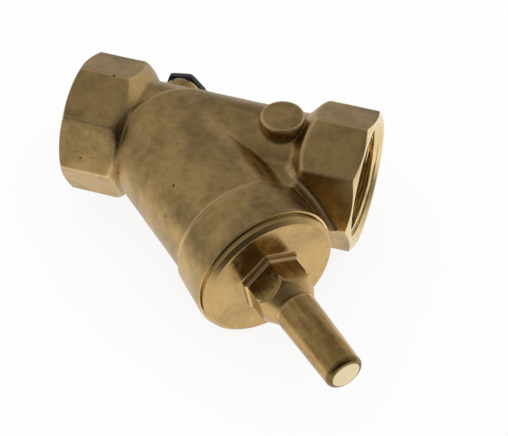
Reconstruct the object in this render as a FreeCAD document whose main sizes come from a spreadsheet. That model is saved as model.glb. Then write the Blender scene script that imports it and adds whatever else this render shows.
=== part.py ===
import FreeCAD, Part
import math
import os
import Sketcher

# A cast brass non-return valve of Y pattern with threaded ends.
# The pipe axis is +X from the inlet face at the origin to the outlet face.
# The branch axis leans from the pipe axis towards the outlet, in the XY plane on the -Y side.
# +Z is the upper side of the valve as it lies, with the blind boss. All sizes are in millimetres.

doc = FreeCAD.newDocument("y_pattern_check_valve")
sheet = doc.addObject("Spreadsheet::Sheet", "size")

# Each size: its name, its value and what it is. Stations are distances along the branch axis
# from the point where it meets the pipe axis, unless they say otherwise.
SIZES = [
    ("face_to_face", "111", "length between the two end faces"),
    ("waterway_radius", "16", "bore of the pipe"),
    ("pipe_wall", "4.2", "wall of the pipe"),
    ("port_across_flats", "48.7", "wrench size of the eight-sided ends"),
    ("inlet_port_length", "21.5", "length of the inlet's flats"),
    ("outlet_port_length", "21.9", "length of the outlet's flats"),
    ("shoulder_length", "3.6", "slope from the flats down to the pipe"),
    ("end_face_radius", "24.1", "turned face of each end"),
    ("end_chamfer_angle", "60", "slope of the turned corners at each end"),
    ("pipe_thread_minor", "19.48", "crest radius of the pipe thread"),
    ("mouth_radius", "22.1", "widest radius of the countersunk mouth"),
    ("tap_depth", "19", "depth of the threaded bore"),
    ("branch_angle", "42", "angle between the pipe axis and the branch axis"),
    ("branch_station", "31", "distance of the branch axis from the inlet face"),
    ("barrel_radius", "23.5", "outside of the branch barrel"),
    ("barrel_round", "3", "rounding of the barrel's back edge"),
    ("chamber_wall", "3.7", "wall of the branch barrel"),
    ("collar_back", "58.7", "station of the collar's back edge"),
    ("collar_back_radius", "25", "radius of the collar at its back edge"),
    ("collar_round", "1.2", "rounding of the collar's back edge"),
    ("collar_face", "76.1", "station of the collar's front face"),
    ("collar_face_radius", "26.4", "radius of the collar at its front face"),
    ("land_set_back", "1.1", "set-back of the raised land from the flange's outside"),
    ("land_height", "1.1", "height of that land over the collar's face"),
    ("web_half_height", "14.8", "half height of the web between collar and outlet"),
    ("web_width", "25.3", "reach of the web from the branch axis towards the outlet"),
    ("web_start", "40", "station where the web starts, inside the pipe"),
    ("web_end", "59.3", "station where the web ends, between collar and outlet"),
    ("blind_boss_station", "78.5", "blind boss along the pipe"),
    ("blind_boss_radius", "8.05", "radius of the blind boss"),
    ("blind_boss_top", "24.1", "height of the blind boss over the pipe axis"),
    ("boss_round", "0.7", "rounding of the bosses' edges"),
    ("test_boss_station", "31.1", "test boss along the pipe"),
    ("test_boss_radius", "7.3", "radius of the test boss"),
    ("test_boss_face", "25.6", "face of the test boss from the pipe axis"),
    ("throat_radius", "17.5", "pocket under the seat"),
    ("throat_start", "-4", "station where the pocket starts"),
    ("seat_radius", "13.5", "bore of the seat"),
    ("seat_wall", "4.5", "wall that carries the seat"),
    ("seat_face", "13", "station of the seat's lip"),
    ("lip_height", "1", "height of the seat's lip"),
    ("lip_width", "1.2", "width of the seat's lip"),
    ("cap_thread_radius", "21.5", "screwed spigot of the bonnet"),
    ("cap_thread_length", "13", "length of that spigot below the gasket"),
    ("screw_gap", "0.05", "radial play of screwed parts"),
    ("gasket_thickness", "1", "thickness of the bonnet gasket"),
    ("gasket_gap", "0.3", "radial play of the gasket on the spigot, and its set-back under the flange"),
    ("flange_thickness", "1.3", "thickness of the bonnet's flange"),
    ("flange_radius", "25.5", "outside of the bonnet's flange"),
    ("flange_chamfer", "0.35", "chamfer under the bonnet's flange"),
    ("cup_radius", "17.5", "hollow of the bonnet's spigot"),
    ("cup_depth", "10", "depth of that hollow"),
    ("base_across_flats", "21.5", "cast six-sided root of the wrench block"),
    ("base_height", "3.9", "height of that root"),
    ("base_chamfer", "0.6", "chamfer of that root"),
    ("wrench_across_flats", "19.6", "wrench size of the bonnet"),
    ("wrench_length", "7.6", "length of the milled flats"),
    ("run_out_step", "0.2", "step where the milled flats end"),
    ("run_out_length", "2.8", "rest of the wrench block past that step"),
    ("block_angle", "28", "turn of the wrench block about the branch axis"),
    ("block_cone_slope", "0.68", "fall of the turned corner per length"),
    ("neck_radius", "9.5", "top of the turned neck"),
    ("neck_waist", "7.2", "narrow end of the turned neck"),
    ("neck_length", "3.2", "length of the turned neck"),
    ("sleeve_radius", "7.45", "closed guide sleeve at its root"),
    ("sleeve_end_radius", "6.45", "closed guide sleeve at its end"),
    ("sleeve_length", "31.7", "length of the guide sleeve"),
    ("sleeve_round", "1.4", "rounding of the sleeve's end"),
    ("bush_radius", "7.5", "outside of the guide bush"),
    ("bush_length", "10", "length of the guide bush in its seat"),
    ("bush_flange_radius", "9.5", "flange of the guide bush"),
    ("bush_flange", "2", "thickness of that flange"),
    ("bush_gap", "0.02", "radial play of the bush in its seat"),
    ("stem_radius", "4.2", "sliding shaft of the stem"),
    ("slide_gap", "0.06", "radial play of the stem in the bush"),
    ("sleeve_gap", "0.15", "radial play of the stem in the sleeve"),
    ("lift", "10", "full lift of the disc"),
    ("end_gap", "0.3", "play left at the sleeve's end at full lift"),
    ("stem_top", "112", "station of the stem's upper end"),
    ("stem_collar_radius", "6.5", "collar of the stem"),
    ("stem_collar", "2.5", "thickness of that collar"),
    ("screw_radius", "3.9", "threaded end of the stem"),
    ("screw_tail", "1.5", "stem end past the nut"),
    ("tip_chamfer", "0.5", "chamfers of the stem"),
    ("seal_radius", "16", "outside of the disc's sealing washer"),
    ("seal_thickness", "3", "thickness of that washer"),
    ("seal_gap", "0.1", "radial play of the washer"),
    ("holder_wall", "1.3", "rim of the disc holder around the washer"),
    ("holder_rim", "1.8", "depth of that rim"),
    ("holder_plate", "4", "plate of the disc holder behind the washer"),
    ("holder_bevel", "1.2", "bevel of the disc holder's back"),
    ("plate_radius", "11", "retaining plate under the washer"),
    ("plate_thickness", "1.2", "thickness of the retaining plate"),
    ("lock_radius", "6.3", "lock washer"),
    ("lock_thickness", "0.8", "thickness of the lock washer"),
    ("nut_across_flats", "13", "retaining nut"),
    ("nut_height", "6", "height of the retaining nut"),
    ("spring_radius", "8", "coil radius of the closing spring"),
    ("spring_wire", "0.6", "wire radius of the closing spring"),
    ("spring_turns", "9", "turns of the closing spring"),
    ("spring_gap", "0.05", "play at each end of the closing spring"),
    ("plug_shank_radius", "5.65", "shank of the test plug"),
    ("plug_shank_length", "8.7", "shank below the plug's head"),
    ("plug_seal_thickness", "0.5", "sealing ring of the test plug"),
    ("plug_seal_width", "1.4", "width of that ring"),
    ("plug_seal_round", "0.15", "rounding of that ring"),
    ("plug_head_across_flats", "15.1", "low six-sided head of the test plug"),
    ("plug_head_height", "1.8", "height of that head"),
    ("plug_head_turn", "-11", "turn of that head's corners"),
    ("plug_chamfer", "0.3", "chamfers of the test plug"),
]
for row, (alias, value, note) in enumerate(SIZES, 1):
    sheet.set(f"A{row}", alias)
    sheet.set(f"B{row}", value)
    sheet.set(f"C{row}", note)
    sheet.setAlias(f"B{row}", alias)
doc.recompute()

# Stations and radii that follow from the sizes, as formulas for the expressions below
PIPE_RADIUS = "(size.waterway_radius + size.pipe_wall)"
PORT_FLAT = "(size.port_across_flats / 2)"
SEAT_FLOOR = "(size.seat_face - size.lip_height)"
SEAT_BACK = f"({SEAT_FLOOR} - size.seat_wall)"
CHAMBER_RADIUS = "(size.barrel_radius - size.chamber_wall)"
LAND_TOP = "(size.collar_face + size.land_height)"
LAND_RADIUS = "(size.flange_radius - size.land_set_back)"
GASKET_RADIUS = "(size.flange_radius - size.gasket_gap)"
FLANGE_BACK = f"({LAND_TOP} + size.gasket_thickness)"
FLANGE_FACE = f"({FLANGE_BACK} + size.flange_thickness)"
SPIGOT_END = f"({LAND_TOP} - size.cap_thread_length)"
CUP_FLOOR = f"({SPIGOT_END} + size.cup_depth)"
BUSH_TOP = f"({CUP_FLOOR} + size.bush_length)"
BASE_TOP = f"({FLANGE_FACE} + size.base_height)"
FLATS_END = f"({BASE_TOP} + size.wrench_length)"
NECK_START = f"({FLATS_END} + size.run_out_length)"
SLEEVE_START = f"({NECK_START} + size.neck_length)"
SLEEVE_TIP = f"({SLEEVE_START} + size.sleeve_length)"
SLEEVE_FLOOR = "(size.stem_top + size.lift + size.end_gap)"
SEAL_TOP = "(size.seat_face + size.seal_thickness)"
HOLDER_TOP = f"({SEAL_TOP} + size.holder_plate)"
PLATE_FACE = "(size.seat_face - size.plate_thickness)"
LOCK_FACE = f"({PLATE_FACE} - size.lock_thickness)"
NUT_FACE = f"({LOCK_FACE} - size.nut_height)"
SHANK_END = f"({NUT_FACE} - size.screw_tail)"
PLUG_HEAD_BACK = "(size.test_boss_face + size.plug_seal_thickness)"
PLUG_BORE = "(size.plug_shank_radius + size.screw_gap)"

# Places of the pieces: along the branch, inwards from each end face, up and out to the side
ON_BRANCH = (
    "placement(vector(size.branch_station; 0; 0);"
    " rotation(vector(sin(size.branch_angle); cos(size.branch_angle); 0); 90))"
)
ON_INLET = "placement(vector(0; 0; 0); rotation(vector(0; 1; 0); 90))"
ON_OUTLET = "placement(vector(size.face_to_face; 0; 0); rotation(vector(0; 1; 0); -90))"
ON_BLIND_BOSS = "placement(vector(size.blind_boss_station; 0; 0); rotation(vector(0; 0; 1); 0))"
ON_TEST_BOSS = "placement(vector(size.test_boss_station; 0; 0); rotation(vector(1; 0; 0); -90))"


def bind(item, **formulas):
    """Drive an object's sizes with formulas on the sheet."""
    for name, formula in formulas.items():
        item.setExpression(name, formula)
    return item


def primitive(kind, name, place, **formulas):
    """A cylinder, cone, box or prism of the Part workbench."""
    return bind(doc.addObject(f"Part::{kind}", name), Placement=place, **formulas)


def join(kind, name, shapes):
    """A fusion or a common of several solids."""
    item = doc.addObject(f"Part::{kind}", name)
    item.Shapes = shapes
    item.Refine = True
    return item


def cut(name, base, tool):
    """One solid less another."""
    item = doc.addObject("Part::Cut", name)
    item.Base = base
    item.Tool = tool
    return item


def new_body(name, place):
    """An empty body with its label and its place."""
    return bind(doc.addObject("PartDesign::Body", name), Placement=place)


def sketch_on(body, name, plane, level="0"):
    """An empty sketch on one of the body's own planes, raised by level."""
    sketch = body.newObject("Sketcher::SketchObject", name)
    origin = next(item for item in body.Origin.OriginFeatures if item.Role == plane)
    sketch.AttachmentSupport = (origin, [""])
    sketch.MapMode = "FlatFace"
    if level != "0":
        sketch.setExpression(".AttachmentOffset.Base.z", level)
    return sketch


def draw_outline(sketch, corners):
    """Straight edges round the corners, each corner held by two formulas."""
    values = [[float(sketch.evalExpression(part)) for part in corner] for corner in corners]
    points = [FreeCAD.Vector(x, y, 0) for x, y in values]
    count = len(points)
    for i in range(count):
        sketch.addGeometry(Part.LineSegment(points[i], points[(i + 1) % count]), False)
    for i in range(count):
        sketch.addConstraint(Sketcher.Constraint("Coincident", i, 2, (i + 1) % count, 1))
    for i, corner in enumerate(corners):
        for kind, axis, formula, value in zip(("DistanceX", "DistanceY"), (-2, -1), corner, values[i]):
            if formula == "0":
                sketch.addConstraint(Sketcher.Constraint("PointOnObject", i, 1, axis))
                continue
            held = sketch.addConstraint(Sketcher.Constraint(kind, -1, 1, i, 1, value))
            sketch.setExpression(f"Constraints[{held}]", formula)
    return sketch


def revolve(body, name, corners, kind="Revolution"):
    """Turn an outline of (radius, station) corners about the body's Z axis."""
    sketch = draw_outline(sketch_on(body, f"{name}_outline", "XZ_Plane"), corners)
    feature = body.newObject(f"PartDesign::{kind}", name)
    feature.Profile = sketch
    feature.ReferenceAxis = (sketch, ["V_Axis"])
    feature.Angle = 360
    return feature


def many_sided(body, name, sides, across_flats, turn, start, length):
    """A prism of equal sides about the body's Z axis, from start over length."""
    corner = f"{across_flats} / 2 / cos(180 / {sides})"
    angles = [f"({turn} + {360 * i} / {sides})" for i in range(sides)]
    corners = [(f"{corner} * cos({angle})", f"{corner} * sin({angle})") for angle in angles]
    sketch = draw_outline(sketch_on(body, f"{name}_outline", "XY_Plane", start), corners)
    pad = bind(body.newObject("PartDesign::Pad", name), Length=length)
    pad.Profile = sketch
    return pad


def rings(shape, radius, station):
    """Names of the circular edges of that radius at that station."""
    found = []
    for i, edge in enumerate(shape.Edges, 1):
        curve = edge.Curve
        if not isinstance(curve, Part.Circle):
            continue
        if math.isclose(curve.Radius, radius, abs_tol=1e-4) and math.isclose(
            curve.Center.z, station, abs_tol=1e-4
        ):
            found.append(f"Edge{i}")
    return found


def dress(body, base, kind, name, spots, formula):
    """Round or chamfer the circular edges at the spots, each a (radius, station) pair of formulas."""
    doc.recompute()
    edges = []
    for radius, station in spots:
        edges += rings(base.Shape, *(float(base.evalExpression(part)) for part in (radius, station)))
    feature = body.newObject(f"PartDesign::{kind}", name)
    feature.Base = (base, edges)
    return bind(feature, **{"Radius" if kind == "Fillet" else "Size": formula})


def turned(name, place, corners):
    """A body turned from one outline."""
    body = new_body(name, place)
    revolve(body, f"{name}_turned", corners)
    return body


# Cast body, outside

def port(name, place, length):
    """An eight-sided end, its corners turned at the mouth and sloped down to the pipe behind."""
    reach = f"({length} + size.shoulder_length)"
    rise = f"({PORT_FLAT} - {PIPE_RADIUS}) / size.shoulder_length"
    prism = primitive(
        "Prism", f"{name}_prism", place, Circumradius=f"{PORT_FLAT} / cos(22.5)", Height=reach
    )
    prism.Polygon = 8
    mouth = primitive(
        "Cone", f"{name}_mouth_cone", place, Radius1="size.end_face_radius",
        Radius2=f"size.end_face_radius + {reach} * tan(size.end_chamfer_angle)", Height=reach,
    )
    shoulder = primitive(
        "Cone", f"{name}_shoulder_cone", place, Radius1=f"{PIPE_RADIUS} + {reach} * {rise}",
        Radius2=PIPE_RADIUS, Height=reach,
    )
    return join("MultiCommon", name, [prism, mouth, shoulder])


def boss(name, place, radius, top):
    """A round boss that stands on the pipe, with a rounded edge."""
    body = new_body(name, place)
    turned_boss = revolve(
        body, f"{name}_turned", [("0", "0"), (radius, "0"), (radius, top), ("0", top)]
    )
    dress(body, turned_boss, "Fillet", f"{name}_edge", [(radius, top)], "size.boss_round")
    return body


pipe = primitive("Cylinder", "pipe", ON_INLET, Radius=PIPE_RADIUS, Height="size.face_to_face")
inlet_port = port("inlet_end", ON_INLET, "size.inlet_port_length")
outlet_port = port("outlet_end", ON_OUTLET, "size.outlet_port_length")
branch = new_body("branch", ON_BRANCH)
branch_turned = revolve(
    branch,
    "branch_turned",
    [
        ("0", "0"),
        ("size.barrel_radius", "0"),
        ("size.barrel_radius", "size.collar_back"),
        ("size.collar_back_radius", "size.collar_back"),
        ("size.collar_face_radius", "size.collar_face"),
        (LAND_RADIUS, "size.collar_face"),
        (LAND_RADIUS, LAND_TOP),
        ("0", LAND_TOP),
    ],
)
branch_back = dress(
    branch, branch_turned, "Fillet", "barrel_back", [("size.barrel_radius", "0")], "size.barrel_round"
)
dress(
    branch, branch_back, "Fillet", "collar_back",
    [("size.collar_back_radius", "size.collar_back")], "size.collar_round",
)
web = primitive(
    "Box", "web",
    "placement(vector(size.branch_station; 0; 0); rotation(vector(0; 0; 1); -size.branch_angle))"
    " * placement(vector(size.web_start; 0; -size.web_half_height); rotation(vector(0; 0; 1); 0))",
    Length="size.web_end - size.web_start", Width="size.web_width", Height="2 * size.web_half_height",
)
blind_boss = boss("blind_boss", ON_BLIND_BOSS, "size.blind_boss_radius", "size.blind_boss_top")
test_boss = boss("test_boss", ON_TEST_BOSS, "size.test_boss_radius", "size.test_boss_face")
casting = join(
    "MultiFuse", "casting",
    [pipe, inlet_port, outlet_port, branch, web, blind_boss, test_boss],
)


# Cast body, inside

def tap(name, place):
    """A countersunk bore as a solid: its wall stands at the crests of the pipe thread."""
    sink = "(size.mouth_radius - size.pipe_thread_minor)"
    body = new_body(name, place)
    revolve(
        body,
        f"{name}_bore",
        [
            ("0", "0"),
            ("size.mouth_radius", "0"),
            ("size.pipe_thread_minor", sink),
            ("size.pipe_thread_minor", "size.tap_depth"),
            ("0", "size.tap_depth"),
        ],
    )
    return body


def half_space(name, start, end):
    """The room between two planes across the branch axis."""
    item = primitive(
        "Box", name, f"{ON_BRANCH} * placement(vector(-{REACH}; -{REACH}; {start}); rotation(vector(0; 0; 1); 0))",
        Length=f"2 * {REACH}", Width=f"2 * {REACH}", Height=f"{end} - {start}",
    )
    return item


def waterway(name, room):
    """The pipe's bore, as far as it lies in that room."""
    bore = primitive(
        "Cylinder", f"{name}_bore", ON_INLET, Radius="size.waterway_radius", Height="size.face_to_face"
    )
    return join("MultiCommon", name, [bore, room])


REACH = "(size.face_to_face + size.branch_station)"
inlet_way = waterway("inlet_way", half_space("inlet_side", f"(-{REACH})", SEAT_BACK))
outlet_way = waterway("outlet_way", half_space("outlet_side", SEAT_FLOOR, REACH))
branch_core = turned(
    "branch_core",
    ON_BRANCH,
    [
        ("0", "size.throat_start"),
        ("size.throat_radius", "size.throat_start"),
        ("size.throat_radius", SEAT_BACK),
        ("size.seat_radius", SEAT_BACK),
        ("size.seat_radius", "size.seat_face"),
        ("size.seat_radius + size.lip_width", "size.seat_face"),
        ("size.seat_radius + size.lip_width", SEAT_FLOOR),
        (CHAMBER_RADIUS, SEAT_FLOOR),
        (CHAMBER_RADIUS, f"{SPIGOT_END} - size.screw_tail"),
        ("size.cap_thread_radius + size.screw_gap", f"{SPIGOT_END} - size.screw_tail"),
        ("size.cap_thread_radius + size.screw_gap", LAND_TOP),
        ("0", LAND_TOP),
    ],
)
inlet_tap = tap("inlet_tap", ON_INLET)
outlet_tap = tap("outlet_tap", ON_OUTLET)
test_tap = primitive(
    "Cylinder", "test_tap",
    f"{ON_TEST_BOSS} * placement(vector(0; 0; size.waterway_radius / 2); rotation(vector(0; 0; 1); 0))",
    Radius=PLUG_BORE, Height="size.test_boss_face - size.waterway_radius / 2",
)
passages = join(
    "MultiFuse", "passages",
    [inlet_way, outlet_way, branch_core, inlet_tap, outlet_tap, test_tap],
)
body_casting = cut("valve_body", casting, passages)


# Bonnet with its wrench block, turned neck and closed guide sleeve

bonnet = new_body("bonnet", ON_BRANCH)
SLEEVE_BORE = "(size.stem_radius + size.sleeve_gap)"
bonnet_turned = revolve(
    bonnet,
    "bonnet_turned",
    [
        ("0", SPIGOT_END),
        ("size.cap_thread_radius", SPIGOT_END),
        ("size.cap_thread_radius", FLANGE_BACK),
        ("size.flange_radius - size.flange_chamfer", FLANGE_BACK),
        ("size.flange_radius", f"{FLANGE_BACK} + size.flange_chamfer"),
        ("size.flange_radius", FLANGE_FACE),
        ("size.neck_radius", FLANGE_FACE),
        ("size.neck_radius", NECK_START),
        ("size.neck_waist", SLEEVE_START),
        ("size.sleeve_radius", SLEEVE_START),
        ("size.sleeve_end_radius", SLEEVE_TIP),
        ("0", SLEEVE_TIP),
    ],
)
sleeve_tip = dress(
    bonnet, bonnet_turned, "Fillet", "sleeve_tip",
    [("size.sleeve_end_radius", SLEEVE_TIP)], "size.sleeve_round",
)
block_base = many_sided(
    bonnet, "block_base", 6, "size.base_across_flats", "size.block_angle",
    FLANGE_FACE, "size.base_height",
)
doc.recompute()
base_top = float(block_base.evalExpression(BASE_TOP))
base_edges = [
    f"Edge{i}"
    for i, edge in enumerate(block_base.Shape.Edges, 1)
    if isinstance(edge.Curve, Part.Line)
    and all(math.isclose(vertex.Z, base_top, abs_tol=1e-4) for vertex in edge.Vertexes)
]
base_slope = bind(bonnet.newObject("PartDesign::Chamfer", "block_base_slope"), Size="size.base_chamfer")
base_slope.Base = (block_base, base_edges)
many_sided(
    bonnet, "wrench_block", 6, "size.wrench_across_flats", "size.block_angle",
    BASE_TOP, "size.wrench_length",
)
many_sided(
    bonnet, "block_end", 6, "(size.wrench_across_flats - 2 * size.run_out_step)", "size.block_angle",
    FLATS_END, "size.run_out_length",
)
BLOCK_CORNER = "(size.wrench_across_flats / 2 / cos(30))"
cone_start = f"({NECK_START} - ({BLOCK_CORNER} - size.neck_radius) / size.block_cone_slope)"
revolve(
    bonnet,
    "block_corner_turned",
    [
        (BLOCK_CORNER, cone_start),
        (f"{BLOCK_CORNER} + size.base_height", cone_start),
        (f"{BLOCK_CORNER} + size.base_height", NECK_START),
        ("size.neck_radius", NECK_START),
    ],
    "Groove",
)
revolve(
    bonnet,
    "bonnet_hollow",
    [
        ("0", SPIGOT_END),
        ("size.cup_radius", SPIGOT_END),
        ("size.cup_radius", CUP_FLOOR),
        ("size.bush_radius", CUP_FLOOR),
        ("size.bush_radius", BUSH_TOP),
        (SLEEVE_BORE, BUSH_TOP),
        (SLEEVE_BORE, SLEEVE_FLOOR),
        ("0", SLEEVE_FLOOR),
    ],
    "Groove",
)

gasket = turned(
    "bonnet_gasket",
    ON_BRANCH,
    [
        ("size.cap_thread_radius + size.gasket_gap", LAND_TOP),
        (GASKET_RADIUS, LAND_TOP),
        (GASKET_RADIUS, FLANGE_BACK),
        ("size.cap_thread_radius + size.gasket_gap", FLANGE_BACK),
    ],
)

guide_bush = turned(
    "guide_bush",
    ON_BRANCH,
    [
        ("size.stem_radius + size.slide_gap", f"{CUP_FLOOR} - size.bush_flange"),
        ("size.bush_flange_radius", f"{CUP_FLOOR} - size.bush_flange"),
        ("size.bush_flange_radius", CUP_FLOOR),
        ("size.bush_radius - size.bush_gap", CUP_FLOOR),
        ("size.bush_radius - size.bush_gap", f"{BUSH_TOP} - size.end_gap"),
        ("size.stem_radius + size.slide_gap", f"{BUSH_TOP} - size.end_gap"),
    ],
)


# The closing disc, which slides along the branch axis

stem = turned(
    "stem",
    ON_BRANCH,
    [
        ("0", SHANK_END),
        ("size.screw_radius - size.tip_chamfer", SHANK_END),
        ("size.screw_radius", f"{SHANK_END} + size.tip_chamfer"),
        ("size.screw_radius", HOLDER_TOP),
        ("size.stem_collar_radius", HOLDER_TOP),
        ("size.stem_collar_radius", f"{HOLDER_TOP} + size.stem_collar"),
        ("size.stem_radius", f"{HOLDER_TOP} + size.stem_collar"),
        ("size.stem_radius", "size.stem_top - size.tip_chamfer"),
        ("size.stem_radius - size.tip_chamfer", "size.stem_top"),
        ("0", "size.stem_top"),
    ],
)
HOLDER_BORE = "(size.screw_radius + size.screw_gap)"
HOLDER_INNER = "(size.seal_radius + size.seal_gap)"
disc_holder = turned(
    "disc_holder",
    ON_BRANCH,
    [
        (HOLDER_BORE, SEAL_TOP),
        (HOLDER_INNER, SEAL_TOP),
        (HOLDER_INNER, f"{SEAL_TOP} - size.holder_rim"),
        (f"{HOLDER_INNER} + size.holder_wall", f"{SEAL_TOP} - size.holder_rim"),
        (f"{HOLDER_INNER} + size.holder_wall", f"{HOLDER_TOP} - size.holder_bevel"),
        (f"{HOLDER_INNER} + size.holder_wall - size.holder_bevel", HOLDER_TOP),
        (HOLDER_BORE, HOLDER_TOP),
    ],
)


def ring(name, place, inner, outer, bottom, top):
    """A flat ring about the Z axis of its place."""
    return turned(name, place, [(inner, bottom), (outer, bottom), (outer, top), (inner, top)])


seal_washer = ring("seal_washer", ON_BRANCH, HOLDER_BORE, "size.seal_radius", "size.seat_face", SEAL_TOP)
retaining_plate = ring(
    "retaining_plate", ON_BRANCH, HOLDER_BORE, "size.plate_radius", PLATE_FACE, "size.seat_face"
)
lock_washer = ring("lock_washer", ON_BRANCH, HOLDER_BORE, "size.lock_radius", LOCK_FACE, PLATE_FACE)

nut = primitive(
    "Prism", "nut_prism",
    f"{ON_BRANCH} * placement(vector(0; 0; {NUT_FACE}); rotation(vector(0; 0; 1); 0))",
    Circumradius="size.nut_across_flats / 2 / cos(30)", Height="size.nut_height",
)
nut.Polygon = 6
nut_bore = primitive("Cylinder", "nut_bore", ON_BRANCH, Radius=HOLDER_BORE, Height="size.seat_face")
retaining_nut = cut("retaining_nut", nut, nut_bore)


# Closing spring between the disc holder and the guide bush

SPRING_START = f"({HOLDER_TOP} + size.spring_wire + size.spring_gap)"
SPRING_END = f"({CUP_FLOOR} - size.bush_flange - size.spring_wire - size.spring_gap)"
spring_path = primitive(
    "Helix", "spring_path",
    f"{ON_BRANCH} * placement(vector(0; 0; {SPRING_START}); rotation(vector(0; 0; 1); 0))",
    Radius="size.spring_radius", Height=f"{SPRING_END} - {SPRING_START}",
    Pitch=f"({SPRING_END} - {SPRING_START}) / size.spring_turns",
)
spring_wire = primitive(
    "Circle", "spring_wire",
    f"{ON_BRANCH} * placement(vector(size.spring_radius; 0; {SPRING_START}); rotation(vector(1; 0; 0); 90))",
    Radius="size.spring_wire",
)
closing_spring = doc.addObject("Part::Sweep", "closing_spring")
closing_spring.Sections = [spring_wire]
closing_spring.Spine = spring_path
closing_spring.Solid = True
closing_spring.Frenet = True


# Test plug on the far side of the inlet, with its sealing ring

test_plug = new_body("test_plug", ON_TEST_BOSS)
SHANK_TIP = f"({PLUG_HEAD_BACK} - size.plug_shank_length)"
revolve(
    test_plug,
    "plug_shank",
    [
        ("0", SHANK_TIP),
        ("size.plug_shank_radius - size.plug_chamfer", SHANK_TIP),
        ("size.plug_shank_radius", f"{SHANK_TIP} + size.plug_chamfer"),
        ("size.plug_shank_radius", PLUG_HEAD_BACK),
        ("0", PLUG_HEAD_BACK),
    ],
)
many_sided(
    test_plug, "plug_head", 6, "size.plug_head_across_flats", "size.plug_head_turn",
    PLUG_HEAD_BACK, "size.plug_head_height",
)
PLUG_TIP = f"({PLUG_HEAD_BACK} + size.plug_head_height)"
PLUG_CORNER = "(size.plug_head_across_flats / 2 / cos(30))"
revolve(
    test_plug,
    "plug_head_corner",
    [
        (f"{PLUG_CORNER} - 2 * size.plug_chamfer", PLUG_TIP),
        (f"{PLUG_CORNER} + size.plug_chamfer", PLUG_TIP),
        (f"{PLUG_CORNER} + size.plug_chamfer", f"{PLUG_TIP} - size.plug_chamfer"),
        (PLUG_CORNER, f"{PLUG_TIP} - size.plug_chamfer"),
    ],
    "Groove",
)

plug_seal = new_body("test_plug_seal", ON_TEST_BOSS)
SEAL_INNER = "(size.plug_shank_radius + size.seal_gap)"
SEAL_OUTER = f"({SEAL_INNER} + size.plug_seal_width)"
plug_seal_turned = revolve(
    plug_seal,
    "plug_seal_turned",
    [
        (SEAL_INNER, "size.test_boss_face"),
        (SEAL_OUTER, "size.test_boss_face"),
        (SEAL_OUTER, PLUG_HEAD_BACK),
        (SEAL_INNER, PLUG_HEAD_BACK),
    ],
)
dress(
    plug_seal, plug_seal_turned, "Fillet", "plug_seal_edges",
    [(SEAL_OUTER, "size.test_boss_face"), (SEAL_OUTER, PLUG_HEAD_BACK)], "size.plug_seal_round",
)

doc.recompute()

SUB_PARTS = [
    body_casting,
    bonnet,
    gasket,
    guide_bush,
    stem,
    disc_holder,
    seal_washer,
    retaining_plate,
    lock_washer,
    retaining_nut,
    closing_spring,
    test_plug,
    plug_seal,
]

for item in doc.Objects:
    if "Invalid" in item.State or "Error" in item.State:
        raise RuntimeError(f"{item.Label} failed: {item.State}")
for item in SUB_PARTS:
    if item.Shape.isNull() or not item.Shape.isValid():
        raise RuntimeError(f"{item.Label} has no valid shape")

os.makedirs("parts", exist_ok=True)
for item in SUB_PARTS:
    item.Shape.exportStep(f"parts/{item.Label}.step")
    print(f"{item.Label}: {len(item.Shape.Solids)} solid, {item.Shape.Volume:.1f} mm3")
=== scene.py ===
"""Surfaces, finishes and stage of a cast brass Y-pattern non-return valve.

All shapes are worked out in millimetres in the valve's own frame: the pipe runs along +X from
the inlet face at the origin, and the branch axis leaves it towards the outlet on the -Y side.
A station on the branch is the distance along its axis from the point where it meets the pipe.
"""
import math
from functools import cache
from types import SimpleNamespace

import bmesh
import bpy
import numpy as np
from bpy.props import FloatProperty, FloatVectorProperty, PointerProperty
from mathutils import Matrix, Vector


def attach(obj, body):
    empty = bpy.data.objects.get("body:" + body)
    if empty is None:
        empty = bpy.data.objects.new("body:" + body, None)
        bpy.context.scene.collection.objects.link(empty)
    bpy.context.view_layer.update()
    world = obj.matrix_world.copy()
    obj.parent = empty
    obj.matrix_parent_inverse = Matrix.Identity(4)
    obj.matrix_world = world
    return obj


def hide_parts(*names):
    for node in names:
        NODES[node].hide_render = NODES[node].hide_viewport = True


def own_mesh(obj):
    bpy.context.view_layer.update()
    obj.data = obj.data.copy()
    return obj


bl_info = {
    "name": "Y-Pattern Valve",
    "version": (1, 0, 0),
    "blender": (4, 5, 0),
    "location": "3D View > Sidebar > Valve",
    "description": "Builds the surfaces, finishes and stage of a Y-pattern non-return valve",
    "category": "Add Mesh",
}

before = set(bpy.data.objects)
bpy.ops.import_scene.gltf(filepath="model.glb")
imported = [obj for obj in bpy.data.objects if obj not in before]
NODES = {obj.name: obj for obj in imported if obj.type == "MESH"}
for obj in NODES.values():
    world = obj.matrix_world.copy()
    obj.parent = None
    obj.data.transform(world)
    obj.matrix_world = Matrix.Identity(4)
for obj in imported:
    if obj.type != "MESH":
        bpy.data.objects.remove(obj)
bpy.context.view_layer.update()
MM = 0.001
FLAT_TURN = math.radians(22.5)


# Sizes and colours that a user would change

def length(name, millimetres, description):
    """A length property with its default given in millimetres."""
    return FloatProperty(
        name=name, description=description, default=millimetres * MM, unit="LENGTH", precision=5
    )


def colour(name, default, description):
    """A colour property."""
    return FloatVectorProperty(
        name=name, description=description, default=default, size=3, subtype="COLOR", min=0, max=1
    )


def share(name, default, description):
    """A plain number from 0 to 1."""
    return FloatProperty(
        name=name, description=description, default=default, subtype="FACTOR", min=0, max=1
    )


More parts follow.
